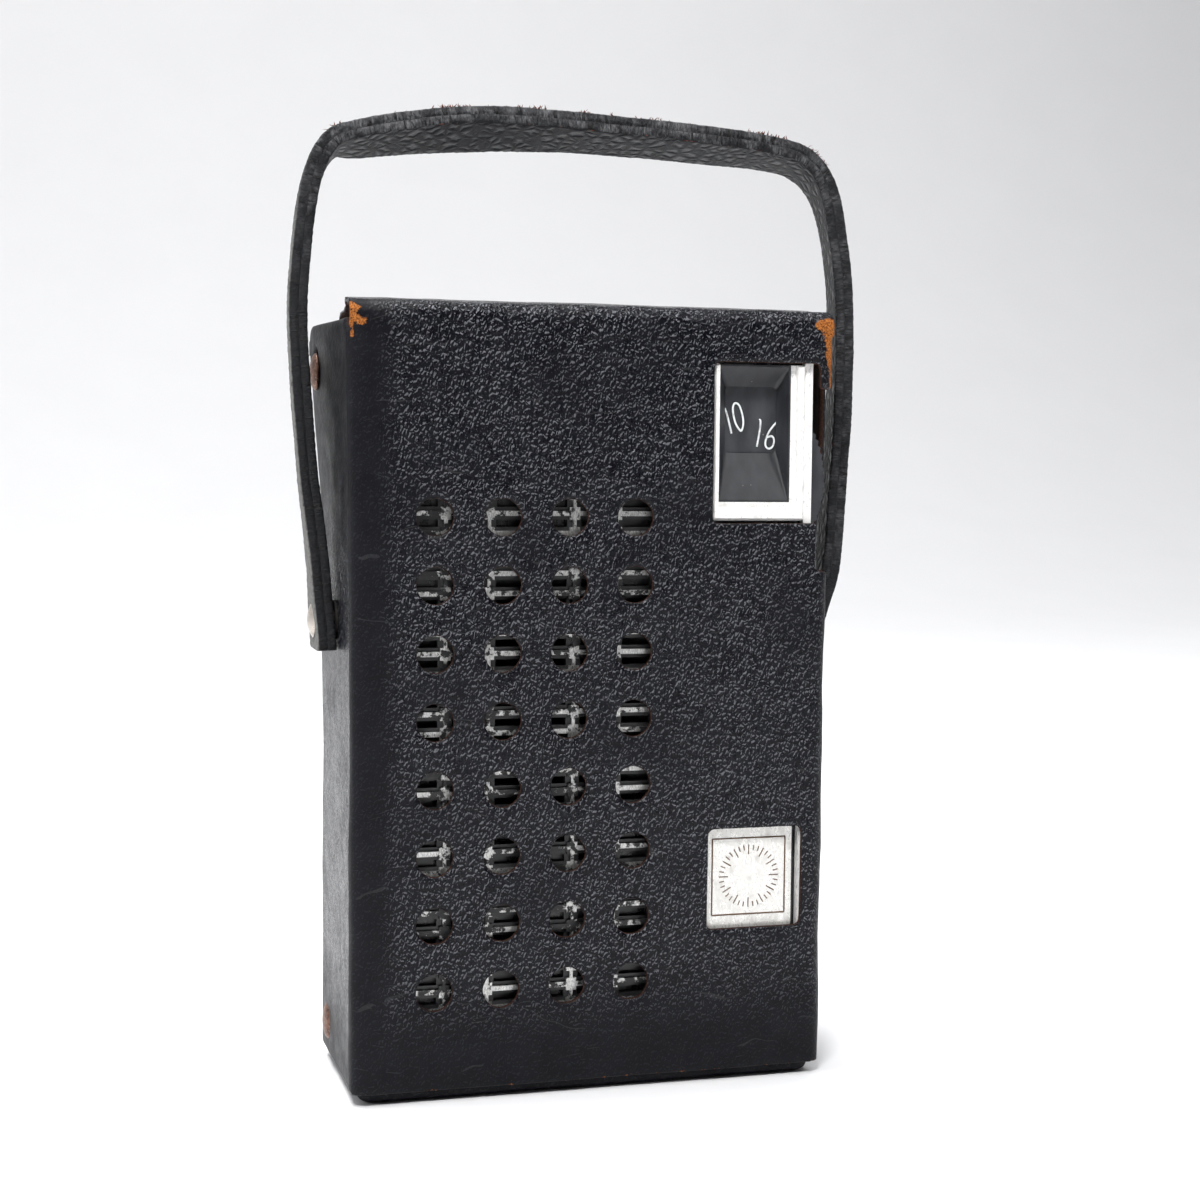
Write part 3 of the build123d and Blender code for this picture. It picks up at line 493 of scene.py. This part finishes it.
def case_tray():
    """Sides, back and bottom, moulded from one sheet."""
    piece = voxel_copy("tray_leather", ["case_tray"], 0.6 * mm, smoothing=3)
    mesh = piece.data
    points = points_of(mesh)
    directions = case_directions(points)
    facing = (normals_of(mesh) * directions).sum(1)
    x, y, z = points.T
    across = np.cos(np.clip(x / side_x, -1, 1) * 1.5)
    back = (directions[:, 1] > 0.5) * across * np.sin(np.clip(z / 115, 0, 1) * 3.1)
    shaped = points + directions * (0.10 * wander(points, 15.0, 4))[:, None]
    shaped[:, 1] += 0.2 * back
    shaped[:, 2] = np.maximum(shaped[:, 2], np.where(z < 0.4, 0.0, -1.0))
    write_points(mesh, shaped)
    store(mesh, "side", facing)
    store(mesh, "flat", points)
    edge = (1 - step(z, 0.0, 1.6)) * 0.30
    back_corner = spot(points, (-35.6, 15.0, 2.0), (-35.6, 15.0, 112.0), 2.2) * 0.3
    back_corner = np.maximum(back_corner, spot(points, (35.6, 15.0, 2.0), (35.6, 15.0, 112.0), 2.2) * 0.3)
    store(mesh, "raw", np.maximum(edge, back_corner))
    store(mesh, "calm", np.clip((1 - step(z, 2, 9)) * 0.7, 0, 1))
    paint(piece, leather("tray_leather_grain", grain=0.7, depth=0.28, shine=0.36))
    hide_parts("case_tray")
    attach(piece, "case")
    return piece


# ---------------------------------------------------------------- handle

strap_low, strap_high = corner("handle_outer_ply")
washer_low, washer_high = corner("handle_washers")
ply = 1.45
strap_width = 0.77 * (strap_high[1] - strap_low[1])


def smooth_path(marks, count):
    """Even points and turns on a smooth line through about these (x, z, turn) marks."""
    curve = bpy.data.curves.new("path", "CURVE")
    curve.dimensions = "3D"
    spline = curve.splines.new("NURBS")
    spline.points.add(len(marks) - 1)
    for point, (x, z, turn) in zip(spline.points, marks):
        point.co = (x, turn, z, 1)
    spline.order_u = 3
    spline.use_endpoint_u = True
    spline.resolution_u = 16
    guide = bpy.data.objects.new("path", curve)
    line = np.array([tuple(v.co) for v in bpy.data.meshes.new_from_object(guide).vertices])
    bpy.data.objects.remove(guide)
    steps = np.hypot(np.diff(line[:, 0]), np.diff(line[:, 2]))
    lengths = np.concatenate([[0], np.cumsum(steps)])
    along = np.linspace(0, lengths[-1], count)
    x, turn, z = (np.interp(along, lengths, line[:, axis]) for axis in range(3))
    return np.stack([x, 0 * x, z], 1), np.radians(turn), along


def strap_line(count):
    """Strap from the left foot over the crown to the right foot; it twists as worn leather does."""
    foot, crown = strap_low[2], strap_high[2]
    side = washer_high[0] + ply
    left = [
        (0, 0, 0), (0.1, 3, 1), (0.5, 7, 2), (0.9, 13, 3), (1.6, 19.5, 4), (2.4, 25.6, 5), (3.0, 33, 5.5),
        (3.6, 41, 5.7), (4.0, 48, 5.7), (4.05, 53, 5.7), (3.6, 58.5, 5.5), (3.1, 64, 5), (2.3, 69.5, 5),
        (1.1, 73.2, 5), (-0.3, 75.6, 5), (-1.9, 76.9, 6),
    ]
    top = [
        (-34.8, 7.0, 13), (-30.7, 6.2, 16), (-26.0, 5.5, 18), (-21.5, 4.9, 21), (-16.8, 4.5, 22), (-12.0, 4.2, 21),
        (-7.3, 4.15, 19), (-2.5, 4.1, 16), (2.3, 4.2, 15), (7.2, 4.4, 14), (12.1, 4.5, 14), (17.1, 4.75, 13),
        (22.1, 5.05, 12), (27.2, 5.3, 11), (32.3, 5.8, 9),
    ]
    right = [
        (-3.2, 77.6, 6), (-1.1, 76.4, 2), (0.7, 74.8, -3), (2.3, 72.2, -8), (3.3, 69.3, -11), (4.0, 66.0, -13),
        (5.0, 60.5, -13), (5.5, 54, -13), (5.7, 47, -13), (5.6, 41, -13), (5.4, 35, -12), (4.9, 28.5, -11),
        (4.4, 21.5, -10), (3.9, 15.5, -7), (3.0, 10.5, -4), (1.5, 6.5, -2), (0.4, 3, 0), (0.0, 0, 0),
    ]
    marks = [(-side - out, foot + up, turn) for out, up, turn in left]
    marks += [(x, crown - down, turn) for x, down, turn in top]
    marks += [(side + out, foot + up, turn) for out, up, turn in right]
    return smooth_path(marks, count)


def strap_section():
    """Crisp two-ply section as (across, out) pairs, with a fine seam at both edges."""
    half, thick, round_ = strap_width / 2, ply, 0.3
    edge = [(half - 0.09, thick - 0.08), (half - 0.01, thick - 0.28), (half, 0.6), (half, 0.12)]
    edge += [(half - 0.09, 0.0), (half, -0.12), (half, -0.6), (half - 0.01, -thick + 0.28)]
    edge += [(half - 0.09, -thick + 0.08)]
    steps = [(-half + round_ + (2 * half - 2 * round_) * index / 30, thick) for index in range(31)]
    steps += edge
    steps += [(half - round_ - (2 * half - 2 * round_) * index / 30, -thick) for index in range(31)]
    steps += [(-a, h) for a, h in reversed(edge)]
    return np.array(steps)


def handle_strap():
    count = 820
    line, turn, along = strap_line(count)
    tangent = np.gradient(line, axis=0)
    tangent /= np.linalg.norm(tangent, axis=1, keepdims=True)
    out = np.stack([-tangent[:, 2], 0 * turn, tangent[:, 0]], 1)
    total = along[-1]
    section = strap_section()
    rows = []
    flat = []
    for index in range(count):
        across = np.array([0, math.cos(turn[index]), 0]) - out[index] * math.sin(turn[index])
        up = out[index] * math.cos(turn[index]) + np.array([0, math.sin(turn[index]), 0])
        place = along[index]
        end_gap = min(place, total - place)
        corner_radius = 5.4 if place > total / 2 else 0.7
        room = math.sqrt(max(0.0, 1 - (1 - min(end_gap / corner_radius, 1)) ** 2))
        half = strap_width / 2
        narrow = (half - corner_radius + corner_radius * room) / half
        wobble = 0.12 * noise.noise(Vector((place * 0.09, 1.3, 0)))
        ragged = 0.10 * noise.noise(Vector((place * 1.1, 7.7, 0))) * step(line[index][2], 100, 140)
        for a, h in section:
            width = a * narrow * (1 + (wobble + ragged) / half)
            ridges = 0.05 * noise.noise(Vector((place * 2.2, a * 0.3, h)))
            swell = 0.05 * noise.noise(Vector((place * 0.12, a * 0.2, 4.0)))
            rows.append(line[index] + across * width + up * h * (1 + ridges + swell))
            flat.append((place, a + 40.0 * (h < 0), h))
    rows, flat = np.array(rows), np.array(flat)
    size = len(section)
    faces = []
    for row in range(count - 1):
        for k in range(size):
            nxt = (k + 1) % size
            faces.append((row * size + k, row * size + nxt, (row + 1) * size + nxt, (row + 1) * size + k))
    faces.append(tuple(range(size)))
    faces.append(tuple((count - 1) * size + k for k in reversed(range(size))))
    piece = mesh_object("handle_strap", rows, faces)
    mesh = piece.data
    a = np.where(flat[:, 1] > 20, flat[:, 1] - 40, flat[:, 1])
    half = strap_width / 2
    store(mesh, "flat", flat)
    store(mesh, "edge", step(np.abs(a), half - 0.32, half - 0.1))
    store(mesh, "under", (flat[:, 2] < -0.9).astype(float))
    legs = step(rows[:, 2], 118, 143)
    store(mesh, "top", np.maximum(legs, 0.55 * step(rows[:, 0], 0, 10) * step(rows[:, 2], 72, 84)))
    outer = (flat[:, 2] > ply - 0.2) * step(-rows[:, 0], 20, 30)
    store(mesh, "chalk", outer * (1 - step(rows[:, 2], 125, 142)))
    paint(piece, strap_leather())
    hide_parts("handle_outer_ply", "handle_inner_ply")
    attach(piece, "handle")
    strap_fuzz(line, turn, out, along)


def strap_fuzz(line, turn, out, along):
    """Torn reddish fibres that stand up along the strap's upper front edge."""
    picker = np.random.default_rng(5)
    vertices, faces = [], []
    spans = [(0.40, 0.425, 60), (0.455, 0.475, 34), (0.495, 0.505, 16), (0.545, 0.553, 12), (0.612, 0.640, 40),
             (0.33, 0.34, 8), (0.655, 0.672, 18), (0.36, 0.66, 40)]
    for low, high, number in spans:
        for _ in range(number):
            index = int(picker.uniform(low, high) * (len(along) - 1))
            across = np.array([0, math.cos(turn[index]), 0]) - out[index] * math.sin(turn[index])
            up = out[index] * math.cos(turn[index]) + np.array([0, math.sin(turn[index]), 0])
            forward = np.cross(across, up)
            root = line[index] + across * picker.uniform(-strap_width / 2, -strap_width / 2 + 0.8) + up * (ply - 0.12)
            lean = up * picker.uniform(0.3, 1.0) + forward * picker.normal(0, 0.7) - across * picker.uniform(0, 0.6)
            reach = picker.uniform(0.25, 0.85)
            width = picker.uniform(0.05, 0.14)
            side = forward * width + across * picker.normal(0, 0.05)
            tip = root + lean * reach
            bend = root + lean * reach * 0.5 + forward * picker.normal(0, 0.08)
            start = len(vertices)
            deep = across * 0.07
            vertices += [root - side, root + side, root + deep, bend - side * 0.7, bend + side * 0.7, bend + deep, tip]
            faces += [(start, start + 1, start + 4, start + 3), (start + 1, start + 2, start + 5, start + 4)]
            faces += [(start + 2, start, start + 3, start + 5), (start + 3, start + 4, start + 6)]
            faces += [(start + 4, start + 5, start + 6), (start + 5, start + 3, start + 6)]
            faces += [(start + 2, start + 1, start)]
    piece = mesh_object("strap_fuzz", vertices, faces)
    paint(piece, fibre("torn_fibre", rgb(0.17, 0.045, 0.02), (3, 3, 3)))
    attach(piece, "handle")


def strap_leather():
    """Rubbed two-ply strap: glossy grey cross-ridged edges, hammered grain inside."""
    s = Shader("strap_leather")
    flat = s.stored("flat", "Vector")
    edge = s.stored("edge")
    under = s.stored("under")
    top = s.stored("top")
    cross = s.noise(s.node("Mapping", {"Vector": flat, "Scale": (3.2, 0.25, 0.8)}), 1.0, 5.0, 0.65)
    cracks = s.ramp(s.noise(s.node("Mapping", {"Vector": flat, "Scale": (2.0, 0.12, 0.3)}), 1.0, 2.0), 0.60, 0.66)
    hammered = s.ramp(s.cells(warped(s, flat, 2.0, 0.5), 1.9, "DISTANCE_TO_EDGE"), 0.02, 0.4)
    pebble = s.ramp(s.cells(warped(s, flat, 1.5, 0.35), 0.85, "DISTANCE_TO_EDGE"), 0.02, 0.34)
    grain = s.blend_value(under, pebble, hammered)
    fine = s.noise(flat, 0.2, 4.0, 0.6)
    face_height = s.math("ADD", s.math("MULTIPLY", grain, 0.6), s.math("MULTIPLY", fine, 0.15))
    edge_height = s.math("SUBTRACT", s.math("MULTIPLY", cross, 0.8), s.math("MULTIPLY", cracks, 0.8))
    height = s.blend_value(edge, face_height, edge_height)
    broad = s.noise(flat, 12.0, 3.0)
    dark = s.mix(s.ramp(broad, 0.3, 0.7), rgb(0.0035, 0.0037, 0.0052), rgb(0.0075, 0.008, 0.0100))
    rubbed = s.math("MULTIPLY", s.ramp(s.noise(flat, 3.0, 5.0, 0.7), 0.40, 0.64), top)
    grey = s.mix(s.ramp(cross, 0.35, 0.7), rgb(0.020, 0.021, 0.025), rgb(0.16, 0.16, 0.165))
    edge_colour = s.mix(s.math("MULTIPLY", rubbed, 0.75), dark, grey)
    edge_colour = s.mix(cracks, edge_colour, rgb(0.008, 0.008, 0.008))
    fuzz = s.math("MULTIPLY", s.ramp(s.noise(flat, 2.6, 5.0, 0.75), 0.60, 0.66), top)
    face_colour = s.mix(s.math("MULTIPLY", s.ramp(grain, 0.75, 1.0), 0.35), dark, rgb(0.045, 0.047, 0.053))
    colour = s.mix(edge, face_colour, edge_colour)
    rim = s.math("MULTIPLY", s.ramp(edge, 0.05, 0.35), s.ramp(edge, 0.95, 0.6))
    red = s.math("MULTIPLY", fuzz, rim)
    colour = s.mix(red, colour, rgb(0.22, 0.055, 0.022))
    rough = s.ramp(cross, 0.3, 0.7, 0.26, 0.46)
    rough = s.blend_value(edge, s.ramp(grain, 0.0, 1.0, 0.55, 0.36), rough)
    rough = s.math("ADD", rough, s.math("MULTIPLY", red, 0.4))
    chalk = s.math("MULTIPLY", s.stored("chalk"), s.ramp(s.noise(flat, 1.2, 4.0, 0.7), 0.25, 0.5))
    colour = s.mix(s.math("MULTIPLY", chalk, 0.85), colour, rgb(0.21, 0.21, 0.20))
    rough = s.math("ADD", rough, s.math("MULTIPLY", chalk, 0.3))
    return s.finish(Base_Color=colour, Roughness=rough, Normal=s.bump(height, 0.4), Specular_IOR_Level=0.2)


# ---------------------------------------------------------------- radio details

dial_low, dial_high = corner("tuning_dial")
dial_x = (dial_low[0] + dial_high[0]) / 2
dial_z = (dial_low[2] + dial_high[2]) / 2
GLYPHS = {
    "0": [[(0.25, 0.0), (0.05, 0.16), (0.05, 0.84), (0.25, 1.0), (0.45, 0.84), (0.45, 0.16), (0.25, 0.0)]],
    "1": [[(0.25, 0.0), (0.25, 1.0), (0.12, 0.9)]],
    "3": [[(0.05, 0.9), (0.24, 1.0), (0.44, 0.86), (0.42, 0.62), (0.2, 0.54), (0.46, 0.44), (0.46, 0.14),
           (0.24, 0.0), (0.04, 0.1)]],
    "6": [[(0.42, 1.0), (0.16, 0.7), (0.05, 0.35), (0.07, 0.1), (0.25, 0.0), (0.44, 0.1), (0.46, 0.36),
           (0.28, 0.5), (0.08, 0.38)]],
    "7": [[(0.04, 1.0), (0.46, 1.0), (0.3, 0.55), (0.2, 0.0)]],
    "8": [[(0.25, 0.54), (0.08, 0.68), (0.08, 0.88), (0.25, 1.0), (0.42, 0.88), (0.42, 0.68), (0.25, 0.54),
           (0.05, 0.38), (0.05, 0.12), (0.25, 0.0), (0.45, 0.12), (0.45, 0.38), (0.25, 0.54)]],
}


def stroke_mesh(name, strokes, radius):
    """Thin rounded ink lines through points in millimetres."""
    curve = bpy.data.curves.new(name, "CURVE")
    curve.dimensions = "3D"
    curve.bevel_depth = radius * mm
    curve.bevel_resolution = 2
    curve.use_fill_caps = True
    for stroke in strokes:
        spline = curve.splines.new("NURBS")
        spline.points.add(len(stroke) - 1)
        for point, place in zip(spline.points, stroke):
            point.co = (*[c * mm for c in place], 1)
        spline.order_u = 3
        spline.use_endpoint_u = True
        spline.resolution_u = 8
    made = bpy.data.objects.new(name, curve)
    mesh = bpy.data.meshes.new_from_object(made)
    bpy.data.objects.remove(made)
    piece = bpy.data.objects.new(name, mesh)
    bpy.context.scene.collection.objects.link(piece)
    mesh.shade_smooth()
    return piece


def dial_numerals():
    """Plain station numbers round the tuning dial."""
    height, reach, spacing = 4.6, 9.6, 36.1
    ink = painted("numeral_ink", rgb(0.88, 0.90, 0.90), 0.45)
    face = dial_low[1] - 0.02
    for index, text in enumerate(["6", "7", "8", "10", "16"]):
        angle = math.radians(5.1 + spacing * (index - 3))
        lean = math.radians(0.69 * (5.1 + spacing * (index - 3)) - 17)
        width = 0.36 * height if text != "16" else 0.42 * height
        strokes = []
        for place, digit in enumerate(text):
            start = (place - len(text) / 2) * width + 0.01 * height
            for glyph in GLYPHS[digit]:
                stroke = []
                for gx, gz in glyph:
                    u = start + gx * height * 0.78
                    v = (gz - 0.5) * height
                    x = dial_x + reach * math.sin(angle) + u * math.cos(lean) + v * math.sin(lean)
                    z = dial_z + reach * math.cos(angle) - u * math.sin(lean) + v * math.cos(lean)
                    stroke.append((x, face, z))
                strokes.append(stroke)
        piece = stroke_mesh(f"dial_numeral_{text}", strokes, 0.16)
        paint(piece, ink)
        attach(piece, "tuning")


def badge_lines():
    """Plain engraved square and a ring of short strokes on the badge plate."""
    low, high = corner("badge_plate")
    middle_x = (low[0] + high[0]) / 2 + 0.35
    middle_z = (low[2] + high[2]) / 2
    face = low[1] + 0.02
    half = 6.0
    ring = 4.9
    corners = [(-half, -half), (half, -half), (half, half), (-half, half)]
    square = []
    for index in range(4):
        (x0, z0), (x1, z1) = corners[index], corners[(index + 1) % 4]
        square.append([(middle_x + x0, face, middle_z + z0), (middle_x + x1, face, middle_z + z1)])
    ticks = []
    for index in range(36):
        angle = 2 * math.pi * index / 36
        inner = ring - (1.5 if index % 3 == 0 else 0.8)
        ends = [(middle_x + r * math.sin(angle), face, middle_z + r * math.cos(angle)) for r in (inner, ring)]
        ticks.append(ends)
    ink = painted("engraving_ink", rgb(0.10, 0.05, 0.02), 0.5, 0.8)
    for name, lines, radius in (("badge_square", square, 0.13), ("badge_ticks", ticks, 0.10)):
        piece = stroke_mesh(name, lines, radius)
        paint(piece, ink)
        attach(piece, "case")


def rivet_heads():
    """Domed heads that sit on the leather as it really lies, flared wings included."""
    low, high = corner("case_rivets")
    radius, rise, rings, sides = 2.9, 1.0, 6, 32
    vertices, faces = [], []
    for side in (-1, 1):
        for z in (low[2] + radius, high[2] - radius):
            seat = np.array([[side * side_x, (low[1] + high[1]) / 2, z]])
            place = shape_skin(seat, np.array([[side, 0.0, 0.0]]))[0] if z > 60 else seat[0]
            place[2] = z - 0.8 * (z > 60)
            start = len(vertices)
            for ring in range(rings):
                bend = ring / (rings - 1) * math.pi / 2
                for k in range(sides):
                    turn = 2 * math.pi * k / sides
                    r, up = radius * math.cos(bend) + 0.02, rise * math.sin(bend) - 0.1
                    spot_on = (side * up, r * math.cos(turn), r * math.sin(turn))
                    vertices.append(place + np.array(spot_on))
            for ring in range(rings - 1):
                for k in range(sides):
                    a, b = start + ring * sides + k, start + ring * sides + (k + 1) % sides
                    faces.append((a, b, b + sides, a + sides) if side > 0 else (b, a, a + sides, b + sides))
            last = [start + (rings - 1) * sides + k for k in range(sides)]
            first = [start + k for k in range(sides)]
            faces.append(tuple(last) if side > 0 else tuple(reversed(last)))
            faces.append(tuple(reversed(first)) if side > 0 else tuple(first))
    piece = mesh_object("rivet_heads", vertices, faces)
    piece.data.shade_smooth()
    paint(piece, rusty("rivet_rust"))
    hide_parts("case_rivets")
    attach(piece, "case")


def dress_cad_nodes():
    """Materials for the CAD nodes that are shown as they are."""
    chrome = metal("bright_chrome", rgb(0.94, 0.93, 0.91), 0.34, rgb(0.10, 0.07, 0.05), 0.22, (1, 1, 0.5),
                   plating=0.2, depth=0.002)
    steel = metal("plain_steel", rgb(0.52, 0.52, 0.53), 0.28)
    brass = metal("aged_brass", rgb(0.42, 0.27, 0.12), 0.34, rgb(0.08, 0.04, 0.02), 0.6)
    black = plastic("cabinet_black", rgb(0.010, 0.010, 0.011), 0.28, dust=0.5)
    phenolic = fibre("board_phenolic", rgb(0.24, 0.12, 0.04), (1, 1, 5), 0.02)
    dress(chrome, "chrome", "dial_bezel", "chrome_trim")
    pin = metal("pin_metal", rgb(0.50, 0.45, 0.40), 0.34, rgb(0.10, 0.06, 0.045), 0.7, plating=0.8)
    dress(pin, "rivet_metal", "handle_pins")
    dress(brass, "snap_metal", "snap_cap", "snap_stud")
    dress(fibre("washer_fibre", rgb(0.03, 0.025, 0.022), (2, 2, 2)), "rivet_metal", "handle_washers")
    dress(black, "cabinet_plastic", "cabinet_front")
    dress(plastic("cabinet_silver", rgb(0.62, 0.63, 0.63), 0.35, dust=0.2), "cabinet_plastic", "cabinet_back")
    dress(plastic("grille_black", rgb(0.014, 0.014, 0.015), 0.4, dust=0.8), "cabinet_plastic", "grille_plate")
    dress(worn_silver("rib_silver"), "grille_silver", "grille_ribs")
    dress(plastic("mask_black", rgb(0.016, 0.017, 0.020), 0.42, dust=0.5), "mask_black", "dial_mask")
    dress(plastic("dial_grey", rgb(0.020, 0.021, 0.025), 0.5, 0.5, 0.03, 0.9), "dial_plastic", "tuning_dial")
    dress(plastic("wheel_black", rgb(0.03, 0.03, 0.032), 0.42), "wheel_plastic", "volume_wheel", "rod_holders")
    badge = metal("badge_silver", rgb(0.74, 0.73, 0.70), 0.30, rgb(0.30, 0.27, 0.23), 0.35, (1, 1, 0.5),
                  plating=0.35, depth=0.003)
    dress(badge, "badge_metal", "badge_plate")
    dress(steel, "steel", "tuning_shaft", "tuning_screw", "volume_shaft", "volume_screw", "board_screws")
    dress(plastic("control_white", rgb(0.6, 0.6, 0.56), 0.4), "control_body", "tuning_capacitor")
    dress(plastic("epoxy_black", rgb(0.02, 0.02, 0.02), 0.5), "component_black",
          "volume_control", "transistors", "battery_connector")
    dress(phenolic, "board", "circuit_board")
    dress(metal("can_aluminium", rgb(0.7, 0.7, 0.7), 0.3), "can_metal", "coil_cans")
    dress(fibre("core_stack", rgb(0.22, 0.2, 0.18), (1, 9, 1), 0.05), "transformer", "audio_transformers")
    dress(plastic("sleeve_blue", rgb(0.03, 0.09, 0.25), 0.3), "component_blue", "electrolytic_capacitors")
    dress(plastic("resistor_tan", rgb(0.42, 0.28, 0.14), 0.45), "component_tan", "resistors")
    dress(plastic("ferrite_grey", rgb(0.03, 0.03, 0.032), 0.55, 0.2, 0.03), "ferrite", "ferrite_rod")
    dress(fibre("winding", rgb(0.5, 0.2, 0.06), (12, 1, 1), 0.08), "coil_wire", "antenna_coil")
    dress(metal("passivated", rgb(0.42, 0.37, 0.2), 0.35), "speaker_steel", "speaker_basket", "speaker_magnet")
    dress(fibre("cone_paper", rgb(0.05, 0.05, 0.05)), "speaker_paper", "speaker_cone")
    dress(metal("cell_can", rgb(0.4, 0.4, 0.42), 0.3), "battery_can", "battery")
    dress(fibre("foam_grey", rgb(0.16, 0.16, 0.16), (2, 2, 2), 0.1), "foam", "battery_pad")
    dress(plastic("lead_red", rgb(0.35, 0.02, 0.015), 0.4), "lead_plastic", "battery_leads", "speaker_leads")
    smooth_by_angle()


# ---------------------------------------------------------------- stage, light, camera

def stage():
    """Pale floor that sweeps up behind the radio."""
    reach, rise, radius = 1700.0, 2400.0, 900.0
    profile = [(-900.0, 0.0)]
    for index in range(13):
        angle = math.pi / 2 * index / 12
        profile.append((reach - radius + radius * math.sin(angle), radius - radius * math.cos(angle)))
    profile.append((reach, rise))
    vertices = []
    for x in (-3000.0, 3000.0):
        vertices += [(x, y, z) for y, z in profile]
    size = len(profile)
    faces = [(i, i + 1, size + i + 1, size + i) for i in range(size - 1)]
    floor = mesh_object("stage_sweep", vertices, faces)
    s = Shader("stage_paper")
    shade = s.noise(s.place(), 60.0, 2.0)
    paint(floor, s.finish(Base_Color=s.mix(shade, rgb(0.80, 0.80, 0.805), rgb(0.83, 0.83, 0.835)), Roughness=0.7))


def area_light(name, place, target, size, power, colour=(1, 1, 1)):
    light = bpy.data.lights.new(name, "AREA")
    light.shape = "RECTANGLE"
    light.size, light.size_y = size
    light.energy = power
    light.color = colour
    lamp = bpy.data.objects.new(name, light)
    bpy.context.scene.collection.objects.link(lamp)
    lamp.location = place
    lamp.rotation_euler = (Vector(target) - Vector(place)).to_track_quat("-Z", "Y").to_euler()


def studio_world():
    """Bright above and behind, dim in front where the room is dark."""
    world = bpy.data.worlds.new("studio")
    world.use_nodes = True
    tree = world.node_tree
    back = tree.nodes["Background"]
    where = tree.nodes.new("ShaderNodeTexCoord")
    facing = tree.nodes.new("ShaderNodeVectorMath")
    facing.operation = "DOT_PRODUCT"
    facing.inputs[1].default_value = (-0.15, 0.55, 0.80)
    ramp = tree.nodes.new("ShaderNodeMapRange")
    ramp.interpolation_type = "SMOOTHSTEP"
    ramp.inputs["From Min"].default_value = -0.25
    ramp.inputs["From Max"].default_value = 0.75
    ramp.inputs["To Min"].default_value = 0.02
    ramp.inputs["To Max"].default_value = 0.74
    tree.links.new(where.outputs["Generated"], facing.inputs[0])
    tree.links.new(facing.outputs["Value"], ramp.inputs["Value"])
    tree.links.new(ramp.outputs[0], back.inputs["Strength"])
    back.inputs["Color"].default_value = rgb(0.95, 0.96, 1.0)
    bpy.context.scene.world = world


def lights():
    studio_world()
    area_light("overhead", (-0.12, 0.10, 0.80), (0, 0, 0.05), (0.40, 0.30), 5.6)
    area_light("front_top", (-0.22, -0.42, 0.62), (0, 0, 0.07), (0.16, 0.10), 4.2)
    area_light("left_window", (-0.95, 0.05, 0.55), (0, 0, 0.07), (0.4, 0.7), 2.2, (0.97, 0.98, 1.0))
    area_light("front_right", (0.45, -0.45, 0.70), (0, 0, 0.06), (0.14, 0.14), 2.4)
    area_light("backdrop", (0.0, 0.75, 1.5), (0, 1.7, 0.35), (2.0, 0.6), 14.0)


def camera():
    """Left of the front, a little above the middle, looking slightly down."""
    place = np.array([-82.6, -307.2, 95.8]) * mm
    yaw, pitch, roll = (math.radians(a) for a in (15.86, 3.85, 0.55))
    ahead = Vector((math.sin(yaw) * math.cos(pitch), math.cos(yaw) * math.cos(pitch), -math.sin(pitch)))
    level = Vector((math.cos(yaw), -math.sin(yaw), 0))
    above = level.cross(ahead)
    right = math.cos(roll) * level + math.sin(roll) * above
    up = -math.sin(roll) * level + math.cos(roll) * above
    data = bpy.data.cameras.new("camera")
    data.sensor_width = 36.0
    data.lens = 60.5
    data.clip_start, data.clip_end = 0.01, 20.0
    lens = bpy.data.objects.new("camera", data)
    bpy.context.scene.collection.objects.link(lens)
    turn = Matrix((right, up, -ahead)).transposed().to_4x4()
    lens.matrix_world = Matrix.Translation(Vector(place)) @ turn
    bpy.context.scene.camera = lens


bpy.context.scene.view_settings.view_transform = "Standard"
case_skin()
case_tray()
handle_strap()
dress_cad_nodes()
dial_numerals()
badge_lines()
rivet_heads()
stage()
lights()
camera()
